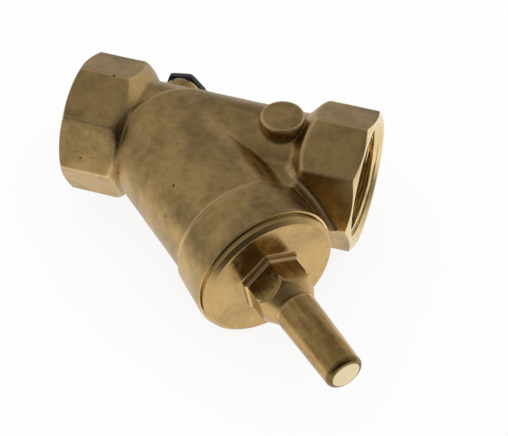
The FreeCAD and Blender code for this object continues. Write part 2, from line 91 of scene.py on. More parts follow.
class BodySizes(bpy.types.PropertyGroup):
    """Outside of the cast body."""

    face_to_face: length("Face to face", 111, "Length between the two end faces")
    pipe: length("Pipe radius", 20.2, "Outside of the pipe")
    across_flats: length("End flats", 48.7, "Wrench size of the eight-sided ends")
    inlet_flats: length("Inlet flats", 21.5, "Length of the inlet's flats")
    outlet_flats: length("Outlet flats", 21.9, "Length of the outlet's flats")
    face_radius: length("End face radius", 24.1, "Turned face of each end")
    mouth: length("Mouth radius", 22.1, "Countersunk mouth of each end")
    bore: length("Waterway", 16.0, "Bore of the pipe")
    thread: length("Thread crest", 19.48, "Crest radius of the pipe thread")
    thread_depth: length("Thread depth", 1.48, "Depth of the pipe thread")
    thread_end: length("Thread end", 19.0, "Depth of the threaded bore")
    pitch: length("Thread pitch", 2.309, "Pitch of the pipe thread")
    barrel: length("Barrel radius", 23.5, "Outside of the branch barrel")
    barrel_round: length("Barrel rounding", 3.0, "Rounding of the barrel's back edge")
    collar_back: length("Collar back", 58.7, "Station of the collar's back edge")
    collar_start: length("Collar back radius", 25.0, "Radius of the collar at its back edge")
    collar: length("Collar radius", 26.4, "Radius of the collar at its front face")
    collar_face: length("Collar face", 76.1, "Station of the collar's front face")
    lip: length("Collar lip", 0.8, "Height of the thin lip round the collar's face")
    land: length("Gasket land", 24.4, "Radius of the raised land under the gasket")
    web: length("Web half height", 14.8, "Half height of the web beside the barrel")
    web_reach: length("Web reach", 25.3, "Reach of the web from the branch axis")
    web_start: length("Web start", 40.0, "Station where the web starts, inside the pipe")
    web_end: length("Web end", 59.0, "Station where the web ends")
    blind_boss_at: length("Blind boss place", 78.5, "Blind boss along the pipe")
    blind_boss: length("Blind boss radius", 8.05, "Radius of the blind boss")
    blind_boss_top: length("Blind boss top", 24.1, "Height of the blind boss over the pipe axis")
    test_boss_at: length("Test boss place", 31.1, "Test boss along the pipe")
    test_boss: length("Test boss radius", 7.3, "Radius of the test boss")
    test_boss_face: length("Test boss face", 25.6, "Face of the test boss")
    rib: length("Rib radius", 1.7, "Rounded rib from the web down the outlet's side")
    rib_top: length("Rib top", 0.75, "Height of the rib's flattened top over its middle line")
    unevenness: length("Unevenness", 0.06, "Slow unevenness of the cast skin")
    skin_step: length("Skin step", 0.75, "Cell size of the cast skin")


class BonnetSizes(bpy.types.PropertyGroup):
    """Outside of the bonnet, as stations and radii about the branch axis."""

    spigot: length("Spigot radius", 21.5, "Screwed spigot")
    flange: length("Flange radius", 25.5, "Outside of the flange")
    flange_back: length("Flange back", 78.2, "Station of the flange's back")
    flange_face: length("Flange face", 80.7, "Station of the flange's face")
    bevel: length("Flange bevel", 1.45, "Bevel around the flange's face")
    base_flats: length("Root flats", 21.5, "Forged root of the wrench block")
    base_top: length("Root top", 83.4, "Station where the forged root ends")
    wrench_flats: length("Wrench flats", 19.6, "Milled flats of the wrench block")
    sleeve: length("Sleeve radius", 7.5, "Guide sleeve at its root")
    sleeve_end: length("Sleeve end radius", 6.78, "Guide sleeve at its end")
    tip: length("Sleeve end", 128.7, "Station of the sleeve's end face")
    tip_face: length("End face radius", 5.0, "Ground face at the sleeve's end")


class Finishes(bpy.types.PropertyGroup):
    """Colours and gloss of the valve."""

    cast: colour("Cast brass", (0.60, 0.395, 0.158), "Tumbled cast skin")
    cast_dark: colour("Cast brass, dull", (0.33, 0.228, 0.092), "Duller patches")
    # Lighter tint for edges, partly wear and partly a painted highlight; it also tints the painted
    # streak reflections on the sleeve
    cast_rubbed_sheen: colour("Cast brass, rubbed", (0.85, 0.61, 0.31), "Rubbed edges")
    forged: colour("Forged brass", (0.64, 0.425, 0.17), "Skin of the bonnet")
    drawn: colour("Sleeve brass", (0.53, 0.335, 0.115), "Dull skin of the guide sleeve")
    turned: colour("Turned brass", (0.90, 0.70, 0.36), "Turned faces and threads")
    ground: colour("Ground brass", (0.97, 0.80, 0.50), "Bright end of the sleeve")
    gasket: colour("Gasket", (0.50, 0.36, 0.15), "Soft metal gasket")
    steel: colour("Stainless", (0.62, 0.62, 0.60), "Spring, nut and lock washer")
    rubber: colour("Rubber", (0.025, 0.025, 0.026), "Seals")
    plug: colour("Plug", (0.03, 0.03, 0.032), "Black test plug")
    cast_gloss: share("Cast roughness", 0.30, "Roughness of the cast skin")
    turned_gloss: share("Turned roughness", 0.24, "Roughness of turned faces")


class StageSettings(bpy.types.PropertyGroup):
    """Floor, light and camera."""

    floor_colour: colour("Floor", (0.98, 0.98, 0.98), "Pale floor")
    far_floor: share("Far floor", 0.25, "Paleness of the floor far ahead, as gloss sees it")
    left_floor: share("Left floor", 0.42, "Paleness of the floor at the left, as gloss sees it")
    floor_height: length("Floor height", -26.45, "Height of the floor")
    floor_size: length("Floor size", 3000, "Side of the square floor")
    lens: FloatProperty(name="Lens", description="Focal length", default=103.84, unit="CAMERA")
    room_light: share("Room light", 0.31, "Brightness of the room around, as gloss sees it")
    dark_light: share("Dark side", 0.055, "Brightness on the camera's right, where the room is dark")
    window_light: share("Bright side", 0.66, "Brightness at the back right")
    left_light: share("Left side", 0.46, "Brightness at the left")


def in_mm(group):
    """The lengths of a property group in millimetres, by name."""
    return SimpleNamespace(**{name: getattr(group, name) / MM for name in group.__annotations__})


# Places on and about the branch axis

BRANCH_ANGLE = math.radians(42)
BRANCH = np.array([math.cos(BRANCH_ANGLE), -math.sin(BRANCH_ANGLE), 0.0])
ACROSS = np.array([math.sin(BRANCH_ANGLE), math.cos(BRANCH_ANGLE), 0.0])
UP = np.array([0.0, 0.0, 1.0])
BRANCH_START = np.array([31.0, 0.0, 0.0])


def branch_places(x, y):
    """Station along the branch axis and offset across it, in the plane of both axes."""
    dx = x - BRANCH_START[0]
    return dx * BRANCH[0] + y * BRANCH[1], dx * ACROSS[0] + y * ACROSS[1]


# Distance fields: negative inside the metal, in millimetres

def join_round(a, b, r):
    """Union of two solids with a hollow fillet: r less the distance of (a, b) from (r, r)."""
    return np.maximum(r, np.minimum(a, b)) - np.hypot(np.maximum(r - a, 0), np.maximum(r - b, 0))


def cut_round(a, b, r):
    """Common of two solids, its edge rounded with radius r: join_round turned inside out."""
    return -join_round(-a, -b, r)


def soft_max(a, b, k):
    """The larger of two values, rounded off over a width k by a parabola."""
    return np.maximum(a, b) + np.maximum(k - np.abs(a - b), 0) ** 2 / (4 * k)


def soft_min(a, b, k):
    """The smaller of two values, rounded off over a width k by a parabola."""
    return -soft_max(-a, -b, k)


def smooth_step(value, low, high):
    """0 below low and 1 above high, with the cubic 3t^2 - 2t^3 between them."""
    t = np.clip((value - low) / (high - low), 0, 1)
    return t * t * (3 - 2 * t)


def casting_waves(x, y, z):
    """Slow unevenness of about -1 to 1: a fifth of the sum of twelve sine waves of 9 to 30 mm."""
    random = np.random.default_rng(11)
    total = 0.0
    for _ in range(12):
        way = random.normal(size=3)
        way *= 2 * math.pi / random.uniform(9, 30) / np.linalg.norm(way)
        total = total + np.sin(way[0] * x + way[1] * y + way[2] * z + random.uniform(0, 6.3))
    return total / 5


# Corners of the rib's path from the web down the outlet's side, and the way its flat top faces
RIB_PLACES = ((86.0, -14.6, 14.5), (89.4, -20.0, 14.7), (96.9, -22.2, 9.6), (105.3, -25.7, 0.3))
RIB_TOP_WAY = (0.60, -0.14, 0.79)


def cut_corners(path, rounds=2):
    """A path with each inner corner replaced by two points, a quarter along its stretches."""
    path = np.array(path, float)
    for _ in range(rounds):
        ahead = 0.75 * path[:-1] + 0.25 * path[1:]
        behind = 0.25 * path[:-1] + 0.75 * path[1:]
        path = np.concatenate([path[:1], np.stack([ahead, behind], 1).reshape(-1, 3)[1:-1], path[-1:]])
    return path


RIB_PATH = cut_corners(RIB_PLACES)


def rib_field(x, y, z, size):
    """Distance from a rounded rib along straight stretches, flattened on its upper side."""
    top_round = 0.3
    best = 1e3
    for start, end in zip(RIB_PATH[:-1], RIB_PATH[1:]):
        way = end - start
        off = [place - at for place, at in zip((x, y, z), start)]
        part = np.clip(sum(d * w for d, w in zip(off, way)) / (way @ way), 0, 1)
        off = [d - part * w for d, w in zip(off, way)]
        reach = np.sqrt(sum(d * d for d in off))
        height = sum(d * w for d, w in zip(off, RIB_TOP_WAY))
        best = np.minimum(best, soft_max(reach - size.rib, height - size.rib_top, top_round))
    return best


def pipe_field(x, y, z, size):
    """Distance from the pipe and its ends: each an eight-sided bar cut by a cone at its shoulder."""
    blunt, corner_round, shoulder_round, root_round = 0.3, 0.45, 0.8, 1.0
    slope = math.radians(49)
    a, b = np.sqrt(y * y + blunt**2), np.sqrt(z * z + blunt**2)
    c, s = math.cos(FLAT_TURN), math.sin(FLAT_TURN)
    radius = np.sqrt(y * y + z * z)
    flat = size.across_flats / 2
    bar = soft_max(a * c + b * s, a * s + b * c, corner_round) - flat
    field = radius - size.pipe
    for depth, flats in ((x, size.inlet_flats), (size.face_to_face - x, size.outlet_flats)):
        shoulder = (depth - flats) * math.sin(slope) + (radius - flat) * math.cos(slope)
        field = soft_min(field, soft_max(bar, shoulder, shoulder_round), root_round)
    return field


def branch_field(station, across, z, size):
    """Distance from the barrel, a cylinder rounded at its back, and the flared collar on it."""
    collar_edge, collar_fillet = 1.2, 1.1
    radius = np.hypot(across, z)
    barrel = cut_round(radius - size.barrel, -station, size.barrel_round)
    flare = np.clip((station - size.collar_back) / (size.collar_face - size.collar_back), 0, 1)
    flared = size.collar_start + (size.collar - size.collar_start) * flare
    collar = cut_round(radius - flared, size.collar_back - station, collar_edge)
    return join_round(barrel, collar, collar_fillet)


def web_field(station, across, z, size):
    """Distance from the web: a slab beside the barrel whose reach shrinks towards its end."""
    side_edge, end_edge = 0.6, 1.1
    shrink, shrink_start = 2.0, 46
    reach = size.web_reach - shrink * smooth_step(station, shrink_start, size.web_end)
    web = cut_round(np.abs(z) - size.web, across - reach, side_edge)
    web = cut_round(web, station - size.web_end, end_edge)
    return np.maximum(web, np.maximum(-across, size.web_start - station))


def boss_field(side, radius, height, top, edge):
    """Distance from a boss: a cylinder up from the pipe's axis with a rounded top edge."""
    return np.maximum(cut_round(side - radius, height - top, edge), -height)


def body_field(x, y, z, size, waves=True):
    """Distance from the cast body's outside: pipe, branch, web, rib and bosses joined by fillets.

    The fillet between pipe and branch grows from the inlet's side towards the outlet.
    """
    web_fillet, rib_fillet, blind_boss_fillet, test_boss_fillet = 0.9, 0.6, 0.7, 1.5
    blind_boss_edge, test_boss_edge = 0.7, 0.5
    station, across = branch_places(x, y)
    fillet = 1.1 + 1.1 * smooth_step(x, 25, 42) + 2.6 * smooth_step(x, 80, 90)
    field = join_round(pipe_field(x, y, z, size), branch_field(station, across, z, size), fillet)
    field = join_round(field, web_field(station, across, z, size), web_fillet)
    field = join_round(field, rib_field(x, y, z, size), rib_fillet)
    side = np.hypot(x - size.blind_boss_at, y)
    boss = boss_field(side, size.blind_boss, z, size.blind_boss_top, blind_boss_edge)
    field = join_round(field, boss, blind_boss_fillet)
    side = np.hypot(x - size.test_boss_at, z)
    boss = boss_field(side, size.test_boss, y, size.test_boss_face, test_boss_edge)
    field = join_round(field, boss, test_boss_fillet)
    if waves:
        field = field + size.unevenness * casting_waves(x, y, z)
    return field


def field_slope(points, size, reach=0.05):
    """Gradient of the body field by central differences, and its value at the points."""
    slope = np.empty_like(points)
    for axis, step in enumerate(reach * np.eye(3)):
        ahead, behind = (points + step).T, (points - step).T
        slope[:, axis] = (body_field(*ahead, size) - body_field(*behind, size)) / (2 * reach)
    return slope, body_field(*points.T, size)


def settle(points, size, rounds=3):
    """Move points onto the surface by Newton steps along the gradient, held short where it is flat."""
    flattest = 0.1
    for _ in range(rounds):
        slope, value = field_slope(points, size)
        points = points - slope * (value / np.maximum((slope**2).sum(1), flattest))[:, None]
    return points


def ridge_share(points, size, reach=0.9, gain=6):
    """Convexity from -1 in a crease to 1 on an edge.

    It is the field's mean over six neighbours less its value, by their distance, times a gain.
    """
    total = np.zeros(len(points))
    for step in reach * np.eye(3):
        total += body_field(*(points + step).T, size, False)
        total += body_field(*(points - step).T, size, False)
    here = body_field(*points.T, size, False)
    return np.clip((total / 6 - here) / reach * gain, -1, 1)


# Meshes

def surface_net(values, low, step):
    """The zero surface of values on a cubic grid.

    Each cell that the surface crosses gets one point, the mean of its edge crossings, and each
    grid edge that it crosses gets one face between the four cells around it.
    """
    inside = values < 0
    cells_shape = np.array(values.shape) - 1
    corners = [np.array([i, j, k]) for i in (0, 1) for j in (0, 1) for k in (0, 1)]

    def corner_view(data, corner):
        return data[tuple(slice(c, c + n) for c, n in zip(corner, cells_shape))]

    full = sum(corner_view(inside, corner).astype(np.int8) for corner in corners)
    active = (full > 0) & (full < len(corners))
    cells = np.argwhere(active)
    number = np.full(active.shape, -1, np.int64)
    number[active] = np.arange(len(cells))
    total = np.zeros((len(cells), 3))
    hits = np.zeros(len(cells))
    for start in corners:
        for axis in range(3):
            if start[axis]:
                continue
            end = start.copy()
            end[axis] = 1
            first = values[tuple((cells + start).T)]
            last = values[tuple((cells + end).T)]
            crossed = (first < 0) != (last < 0)
            part = np.where(crossed, first / np.where(crossed, first - last, 1), 0)
            total += crossed[:, None] * (start + part[:, None] * (end - start))
            hits += crossed
    points = low + step * (cells + total / hits[:, None])

    faces = []
    for axis in range(3):
        u, v = (axis + 1) % 3, (axis + 2) % 3
        here = [slice(1, -1)] * 3
        here[axis] = slice(0, -1)
        ahead = list(here)
        ahead[axis] = slice(1, None)
        starts, ends = inside[tuple(here)], inside[tuple(ahead)]
        grid = np.argwhere(starts != ends)
        leaving = starts[tuple(grid.T)]
        grid[:, u] += 1
        grid[:, v] += 1
        around = []
        for du, dv in ((-1, -1), (0, -1), (0, 0), (-1, 0)):
            cell = grid.copy()
            cell[:, u] += du
            cell[:, v] += dv
            around.append(number[tuple(cell.T)])
        quads = np.stack(around, 1)
        faces.append(np.where(leaving[:, None], quads, quads[:, ::-1]))
    return points, np.concatenate(faces)


def relax(points, faces, size, rounds=3):
    """Even out the points: half a step to the mean of each one's neighbours, then settled again."""
    pairs = np.concatenate([faces[:, [i, (i + 1) % 4]] for i in range(4)])
    pairs = np.unique(np.sort(pairs, 1), axis=0)
    ends = np.concatenate([pairs, pairs[:, ::-1]])
    count = np.bincount(ends[:, 0], minlength=len(points))
    for _ in range(rounds):
        sums = [np.bincount(ends[:, 0], points[ends[:, 1], i], len(points)) for i in range(3)]
        mean = np.stack(sums, 1) / count[:, None]
        points = settle(points + 0.5 * (mean - points), size, 1)
    return settle(points, size, 2)


def grid_faces(rows, columns, offset=0):
    """Faces of a grid that closes round its columns, row after row."""
    row = np.arange(rows - 1)[:, None] * columns + offset
    column = np.arange(columns)[None, :]
    after = (column + 1) % columns
    corners = (row + column, row + after, row + columns + after, row + columns + column)
    return np.stack([np.broadcast_to(c, (rows - 1, columns)) for c in corners], -1).reshape(-1, 4)


def new_object(name, points, faces, materials, kinds=None):
    """A mesh object in metres from points in millimetres and a list of faces."""
    mesh = bpy.data.meshes.new(name)
    mesh.from_pydata((np.asarray(points) * MM).tolist(), [], [list(face) for face in faces])
    for material in materials:
        mesh.materials.append(material)
    if kinds is not None:
        mesh.polygons.foreach_set("material_index", np.asarray(kinds, np.int32))
    mesh.shade_smooth()
    mesh.update()
    piece = bpy.data.objects.new(name, mesh)
    bpy.context.scene.collection.objects.link(piece)
    return piece


def mark_sharp(mesh, degrees_for):
    """Shade sharp the edges whose faces turn by more than the degrees for their kinds, if any."""
    work = bmesh.new()
    work.from_mesh(mesh)
    for edge in work.edges:
        limit = degrees_for({face.material_index for face in edge.link_faces})
        if limit and edge.calc_face_angle(0) > math.radians(limit):
            edge.smooth = False
    work.to_mesh(mesh)
    work.free()


def polygon_radius(angle, flats, sides, turn, softness):
    """Radius of a many-sided bar at an angle: half its flats over the cosine to the next flat.

    Softness rounds the corners by the pull of a parabola over that width.
    """
    sector = 2 * math.pi / sides
    near = (angle - turn) % sector - sector / 2
    beside = np.cos(sector - np.abs(near))
    return flats / 2 / soft_max(np.cos(near), beside, softness)


def even_angles(columns):
    """Angles of a full turn, evenly spaced."""
    return np.arange(columns) * 2 * math.pi / columns


def corner_angles(per_side, sides, turn=0.0, crowding=0.6):
    """Angles of a full turn that crowd towards the corners of a many-sided bar, by a cubic."""
    sector = 2 * math.pi / sides
    u = (np.arange(per_side) + 0.5) / per_side * 2 - 1
    within = ((1 - crowding) * u + crowding * (1.5 * u - 0.5 * u**3)) * sector / 2
    middles = turn + (np.arange(sides) + 0.5) * sector
    return (middles[:, None] + within[None, :]).ravel()


def about_branch(station, radius, angle):
    """Points at stations and radii about the branch axis; the angle runs from +Z to the -Y side."""
    side = np.cross(BRANCH, UP)
    return (
        BRANCH_START
        + station[..., None] * BRANCH
        + (radius * np.cos(angle))[..., None] * UP
        + (radius * np.sin(angle))[..., None] * side
    )


def turned_shape(profile, angles, radius_of):
    """A closed shape turned about the branch axis from rows that start and end on that axis.

    A row begins with its station and radius. radius_of(row, station, radius, angles) may give it
    another radius round the turn. Also returns which row each face starts from.
    """
    columns = len(angles)
    rings = []
    for row in range(1, len(profile) - 1):
        station, radius = profile[row][:2]
        radii = radius_of(row, station, np.full(columns, float(radius)), angles)
        rings.append(about_branch(np.full(columns, float(station)), radii, angles))
    zero = np.zeros(1)
    poles = [about_branch(np.array([profile[row][0]]), zero, zero) for row in (0, -1)]
    points = np.concatenate([*rings, *poles])
    around = np.arange(columns)
    after = (around + 1) % columns
    last_ring, first_pole = (len(rings) - 1) * columns, len(rings) * columns
    start_fan = np.stack([0 * around + first_pole, after, around], 1)
    end_fan = np.stack([0 * around + first_pole + 1, last_ring + around, last_ring + after], 1)
    faces = grid_faces(len(rings), columns).tolist() + start_fan.tolist() + end_fan.tolist()
    row_of_face = np.repeat([*range(1, len(rings)), 0, len(rings)], columns)
    return points, faces, row_of_face


# Cast body

CAST, TURNED = 0, 1

# Where the cast skin stops: along the pipe, the branch and the test boss, and before the outlet
SKIN_INLET, SKIN_COLLAR, SKIN_BOSS, SKIN_OUTLET_DEPTH = 17.0, 74.3, 24.4, 4.4

# Depth behind its face where the shell of each end stops, a little short of the skin
END_STOPS = {"inlet": 16.4, "outlet": 4.0}

END_ANGLES = corner_angles(30, 8)
COLLAR_ANGLES = even_angles(288)
BOSS_ANGLES = even_angles(96)

# Radius about the test boss within which the skin is cut off, and rows to a turn of the thread
BOSS_SURROUND = 9.3
THREAD_STEPS = 10

# First station, last station and radius of the throat, the disc's chamber and the spigot's bore
PASSAGES = ((-4.1, 12.1, 17.6), (11.9, 62.9, 19.95), (62.6, 77.3, 21.7))


class BodyParts:
    """The pieces of the body's shell in one mesh, joined loop to loop."""

    def __init__(self):
        self.mesh = bmesh.new()

    def take(self, mesh):
        """Move a mesh's faces in and remove it."""
        self.mesh.from_mesh(mesh)
        bpy.data.meshes.remove(mesh)

    def add(self, points, faces, kinds):
        """Add a set of faces, each with its material."""
        made = [self.mesh.verts.new(point) for point in points.tolist()]
        for face, kind in zip(faces.tolist(), kinds.tolist()):
            self.mesh.faces.new([made[i] for i in face]).material_index = kind
        return made

    def row_edges(self, ring):
        """Boundary edges between the points of a row."""
        ring = set(ring)
        return [e for v in ring for e in v.link_edges if e.is_boundary and e.other_vert(v) in ring]

    def open_edges(self, test):
        """Boundary edges whose two ends pass the test."""
        return [
            edge
            for edge in self.mesh.edges
            if edge.is_boundary and all(test(vertex.co) for vertex in edge.verts)
        ]

    def bridge(self, first, second, kind):
        """Close the gap between two open loops."""
        if not first or not second:
            raise RuntimeError("a loop of the body's shell was not found")
        result = bmesh.ops.bridge_loops(self.mesh, edges=list({*first, *second}))
        for face in result["faces"]:
            face.material_index = kind


def radial_hit(x, angle, size, start):
    """Radius about the pipe axis where the body field is zero, by repeated steps of its value."""
    radius = np.full(np.broadcast(x, angle).shape, float(start))
    for _ in range(14):
        radius = radius - body_field(x, radius * np.cos(angle), radius * np.sin(angle), size)
    return radius


def thread_radius(depth, angle, size, turn):
    """Radius of the pipe thread at a depth: a truncated triangle that climbs one pitch a turn.

    It fades into the plain bore over its last turn, and the countersunk mouth cuts it off.
    """
    steepness, fade_start, fade_end = 1.28, 0.6, 2.6
    phase = (depth / size.pitch + turn * angle / (2 * math.pi)) % 1
    wave = np.clip(steepness * (1 - 4 * np.abs(phase - 0.5)), -1, 1)
    fade = smooth_step(size.thread_end - depth, fade_start, fade_end)
    groove = size.thread + size.thread_depth * (0.5 + 0.5 * np.sin(wave * math.pi / 2)) * fade
    return np.maximum(groove, size.mouth - depth)


def shell_of(rings, turned_rows, flipped=False):
    """A shell through rings of points, turned on its first rows of faces and cast after them."""
    columns = len(rings[0])
    faces = grid_faces(len(rings), columns)
    if flipped:
        faces = faces[:, ::-1]
    kinds = np.where(np.arange(len(faces)) < turned_rows * columns, TURNED, CAST)
    return SimpleNamespace(points=np.concatenate(rings), faces=faces, kinds=kinds, columns=columns)


def end_shell(size, end):
    """Rows of one end from its step over the thread, mouth, turned face and corners to the flats."""
    angles = END_ANGLES
    outlet = end == "outlet"
    outside = size.across_flats / 2 + 1
    corner_slope = math.radians(60)
    flat_depth, least_corner, least_face_gap = 3.0, 0.1, 0.14

    def along(depth):
        return size.face_to_face - depth if outlet else depth

    flat = radial_hit(along(flat_depth), angles, size, outside)
    face = np.minimum(size.face_radius, flat - least_face_gap)
    corner = np.maximum((flat - size.face_radius) / math.tan(corner_slope), least_corner)
    rows = [(size.thread_end, radius) for radius in (size.bore + 0.15, 17.6, size.thread - 0.02)]
    last = int((size.thread_end - 0.05) / size.pitch * THREAD_STEPS)
    depths = np.append(np.arange(last, 0, -1) * size.pitch / THREAD_STEPS, 0.0)
    rows += [(depth, thread_radius(depth, angles, size, 1 if outlet else -1)) for depth in depths]
    rows += [(0.0, size.mouth + (face - size.mouth) * part) for part in (0.06, 0.5, 1.0)]
    rows.append((corner, flat))
    turned_rows = len(rows) - 1
    for part in (0.02, 0.06, 0.14, 0.3, 0.5, 0.7, 0.85, 1.0):
        depth = corner + (END_STOPS[end] - corner) * part
        rows.append((depth, radial_hit(along(depth), angles, size, outside)))
    rings = [
        np.stack([along(depth + 0 * angles), radius * np.cos(angles), radius * np.sin(angles)], 1)
        for depth, radius in rows
    ]
    return shell_of(rings, turned_rows, outlet)


def collar_shell(size):
    """Rows of the collar's front: its turned face, the thin lip round it and a short way back."""
    edge, turned_rows = 0.35, 7
    face, rim = size.collar_face, size.collar
    front = face + size.lip
    rows = [(face, size.land + 0.15), (face, rim - 1.1), (face + 0.1, rim - 0.98)]
    rows += [(front - 0.12, rim - 0.92), (front, rim - 0.78), (front, rim - edge)]
    rows += [
        (front - edge * (1 - math.cos(t)), rim - edge * (1 - math.sin(t)))
        for t in np.linspace(0, math.pi / 2, 6)[1:]
    ]
    rows += [(front - 0.7, rim - 0.01), (SKIN_COLLAR + 0.5, rim - 0.05)]
    flat = 0 * COLLAR_ANGLES
    rings = [about_branch(flat + station, flat + radius, COLLAR_ANGLES) for station, radius in rows]
    rings[-2:] = [settle(ring, size) for ring in rings[-2:]]
    return shell_of(rings, turned_rows)


def boss_shell(size):
    """Rows of the test boss's end: side, rounded edge and face, inwards to its bore."""
    edge, bore_rim = 0.5, 1.1
    face, radius = size.test_boss_face, size.test_boss
    rows = [(SKIN_BOSS + 0.3, radius)]
    rows += [
        (face - edge * (1 - math.cos(t)), radius - edge * (1 - math.sin(t)))
        for t in np.linspace(math.pi / 2, 0, 5)
    ]
    rows.append((face, radius - bore_rim))
    across, up = np.cos(BOSS_ANGLES), np.sin(BOSS_ANGLES)
    rings = [np.stack([size.test_boss_at + r * across, y + 0 * up, r * up], 1) for y, r in rows]
    return shell_of(rings, len(rows), True)


def is_passage(point, size):
    """True for a point in one of the bores and chambers of the body behind its threaded ends."""
    x, y, z = point
    beyond = size.face_to_face - size.thread_end
    if size.thread_end < x < beyond and math.hypot(y, z) < size.bore + 0.1:
        return True
    station, across = branch_places(x, y)
    branch_radius = math.hypot(across, z)
    if any(low < station < high and branch_radius < reach for low, high, reach in PASSAGES):
        return True
    if station > size.collar_face + 0.04 and branch_radius < size.land + 0.12:
        return True
    test_bore, bore_start = 5.8, 8
    off = math.hypot(x - size.test_boss_at, z)
    return bore_start < y < size.test_boss_face + 0.02 and off < test_bore


def inner_walls(size):
    """The bored and turned inner faces of the body, from a merged copy of its solid."""
    work = bmesh.new()
    work.from_mesh(NODES["valve_body"].data)
    bmesh.ops.scale(work, vec=(1 / MM,) * 3, verts=work.verts)
    bmesh.ops.remove_doubles(work, verts=work.verts, dist=0.002)
    work.normal_update()
    outer = [
        face
        for face in work.faces
        if not is_passage(face.calc_center_median() + face.normal * 0.08, size)
    ]
    bmesh.ops.delete(work, geom=outer, context="FACES")
    for face in work.faces:
        face.material_index = TURNED
    mesh = bpy.data.meshes.new("inner_walls")
    work.to_mesh(mesh)
    work.free()
    return mesh


def cast_skin(size):
    """The cast outside, past where the two ends, the collar's front and the test boss cut it off."""
    step, margin = size.skin_step, 1.5
    lowest, side = -72.5, 28.0
    low = np.array([SKIN_INLET - margin, lowest, -side])
    high = np.array([size.face_to_face - SKIN_OUTLET_DEPTH + margin, side, side])
    axes = [np.arange(low[i], high[i] + step, step) for i in range(3)]
    x, y, z = np.meshgrid(*axes, indexing="ij", sparse=True)
    points, faces = surface_net(body_field(x, y, z, size, False), low, step)
    points = relax(points, faces, size)
    skin = bpy.data.meshes.new("cast_skin")
    skin.from_pydata(points.tolist(), [], faces.tolist())
    return skin


def trim_skin(whole, size):
    """Cut the cast skin off flat where the turned ends, the collar's front and the boss start."""
    boss_foot = 22
    outlet = size.face_to_face - SKIN_OUTLET_DEPTH

    def on_boss(c):
        return c.y > boss_foot and math.hypot(c.x - size.test_boss_at, c.z) < BOSS_SURROUND

    branch = Vector(BRANCH)
    cuts = (
        (Vector((SKIN_INLET, 0, 0)), Vector((-1, 0, 0)), None),
        (Vector((outlet, 0, 0)), Vector((1, 0, 0)), None),
        (Vector(BRANCH_START) + branch * SKIN_COLLAR, branch, None),
        (Vector((0, SKIN_BOSS, 0)), Vector((0, 1, 0)), on_boss),
    )
    for place, way, near in cuts:
        picked = [f for f in whole.faces if near is None or near(f.calc_center_median())]
        edges = {e for f in picked for e in f.edges}
        verts = {v for f in picked for v in f.verts}
        bmesh.ops.bisect_plane(
            whole, geom=[*verts, *edges, *picked], dist=1e-4, plane_co=place, plane_no=way,
            clear_outer=True,
        )
    loose = [v for v in whole.verts if not v.link_faces]
    bmesh.ops.delete(whole, geom=loose, context="VERTS")


def loop_tests(size):
    """For each axis a test for points on a loop: in its plane and within a reach of the axis."""

    def on_pipe(c):
        return c.x, math.hypot(c.y, c.z)

    def on_branch(c):
        station, across = branch_places(c.x, c.y)
        return station, math.hypot(across, c.z)

    def on_boss(c):
        return c.y, math.hypot(c.x - size.test_boss_at, c.z)

    def tester(places):
        def ring(plane, reach):
            return lambda c: abs(places(c)[0] - plane) < 0.01 and places(c)[1] < reach

        return ring

    return tester(on_pipe), tester(on_branch), tester(on_boss)


def build_body_mesh(size):
    """One closed shell: cast skin, turned ends and collar, and the bored inner walls."""
    parts = BodyParts()
    whole = parts.mesh
    parts.take(cast_skin(size))
    trim_skin(whole, size)
    parts.take(inner_walls(size))

    pipe, branch, boss = loop_tests(size)
    outlet = size.face_to_face - SKIN_OUTLET_DEPTH
    outlet_step = size.face_to_face - size.thread_end
    bore, anywhere = size.bore + 0.1, 40
    joints = (
        (
            end_shell(size, "inlet"), pipe(size.thread_end, bore), TURNED,
            pipe(SKIN_INLET, anywhere), CAST,
        ),
        (
            end_shell(size, "outlet"), pipe(outlet_step, bore), TURNED,
            pipe(outlet, anywhere), CAST,
        ),
        (
            collar_shell(size), branch(size.collar_face, size.land + 0.1), TURNED,
            branch(SKIN_COLLAR, anywhere), CAST,
        ),
        (
            boss_shell(size), boss(SKIN_BOSS, BOSS_SURROUND), CAST,
            boss(size.test_boss_face, 6.0), TURNED,
        ),
    )
    for shell, first_test, first_kind, last_test, last_kind in joints:
        loops = [parts.open_edges(test) for test in (first_test, last_test)]
        made = parts.add(shell.points, shell.faces, shell.kinds)
        rows = [parts.row_edges(ring) for ring in (made[:shell.columns], made[-shell.columns:])]
        for loop, row, kind in zip(loops, rows, (first_kind, last_kind)):
            parts.bridge(loop, row, kind)
    bmesh.ops.recalc_face_normals(whole, faces=whole.faces)
    open_left = sum(edge.is_boundary for edge in whole.edges)
    print("body shell: faces", len(whole.faces), "open edges", open_left)
    return whole


# Finishes

def feed(tree, socket, value):
    """Link an input to another socket, or set its own value."""
    if isinstance(value, bpy.types.NodeSocket):
        tree.links.new(value, socket)
    else:
        socket.default_value = value


def node_of(tree, kind, inputs=(), **properties):
    """A node with its properties set and its inputs, by name or number, fed."""
    node = tree.nodes.new(kind)
    for name, value in properties.items():
        setattr(node, name, value)
    for name, value in dict(inputs).items():
        feed(tree, node.inputs[name], value)
    return node


def object_place(tree):
    """The texture coordinates of the object."""
    return tree.nodes.new("ShaderNodeTexCoord").outputs["Object"]


def noise_of(tree, place, scale, detail, rough=0.5):
    """Noise at a place."""
    inputs = {"Vector": place, "Scale": scale, "Detail": detail, "Roughness": rough}
    return node_of(tree, "ShaderNodeTexNoise", inputs).outputs["Fac"]


def rgba(values):
    """A colour with full alpha."""
    return (*values, 1.0)


def grey(level):
    """A grey of one level."""
    return rgba([level] * 3)


def mix_colour(tree, factor, first, second, blend="MIX"):
    """A colour mix whose inputs are sockets or values."""
    inputs = {0: factor, 6: first, 7: second}
    mix = node_of(tree, "ShaderNodeMix", inputs, data_type="RGBA", blend_type=blend)
    return mix.outputs[2]


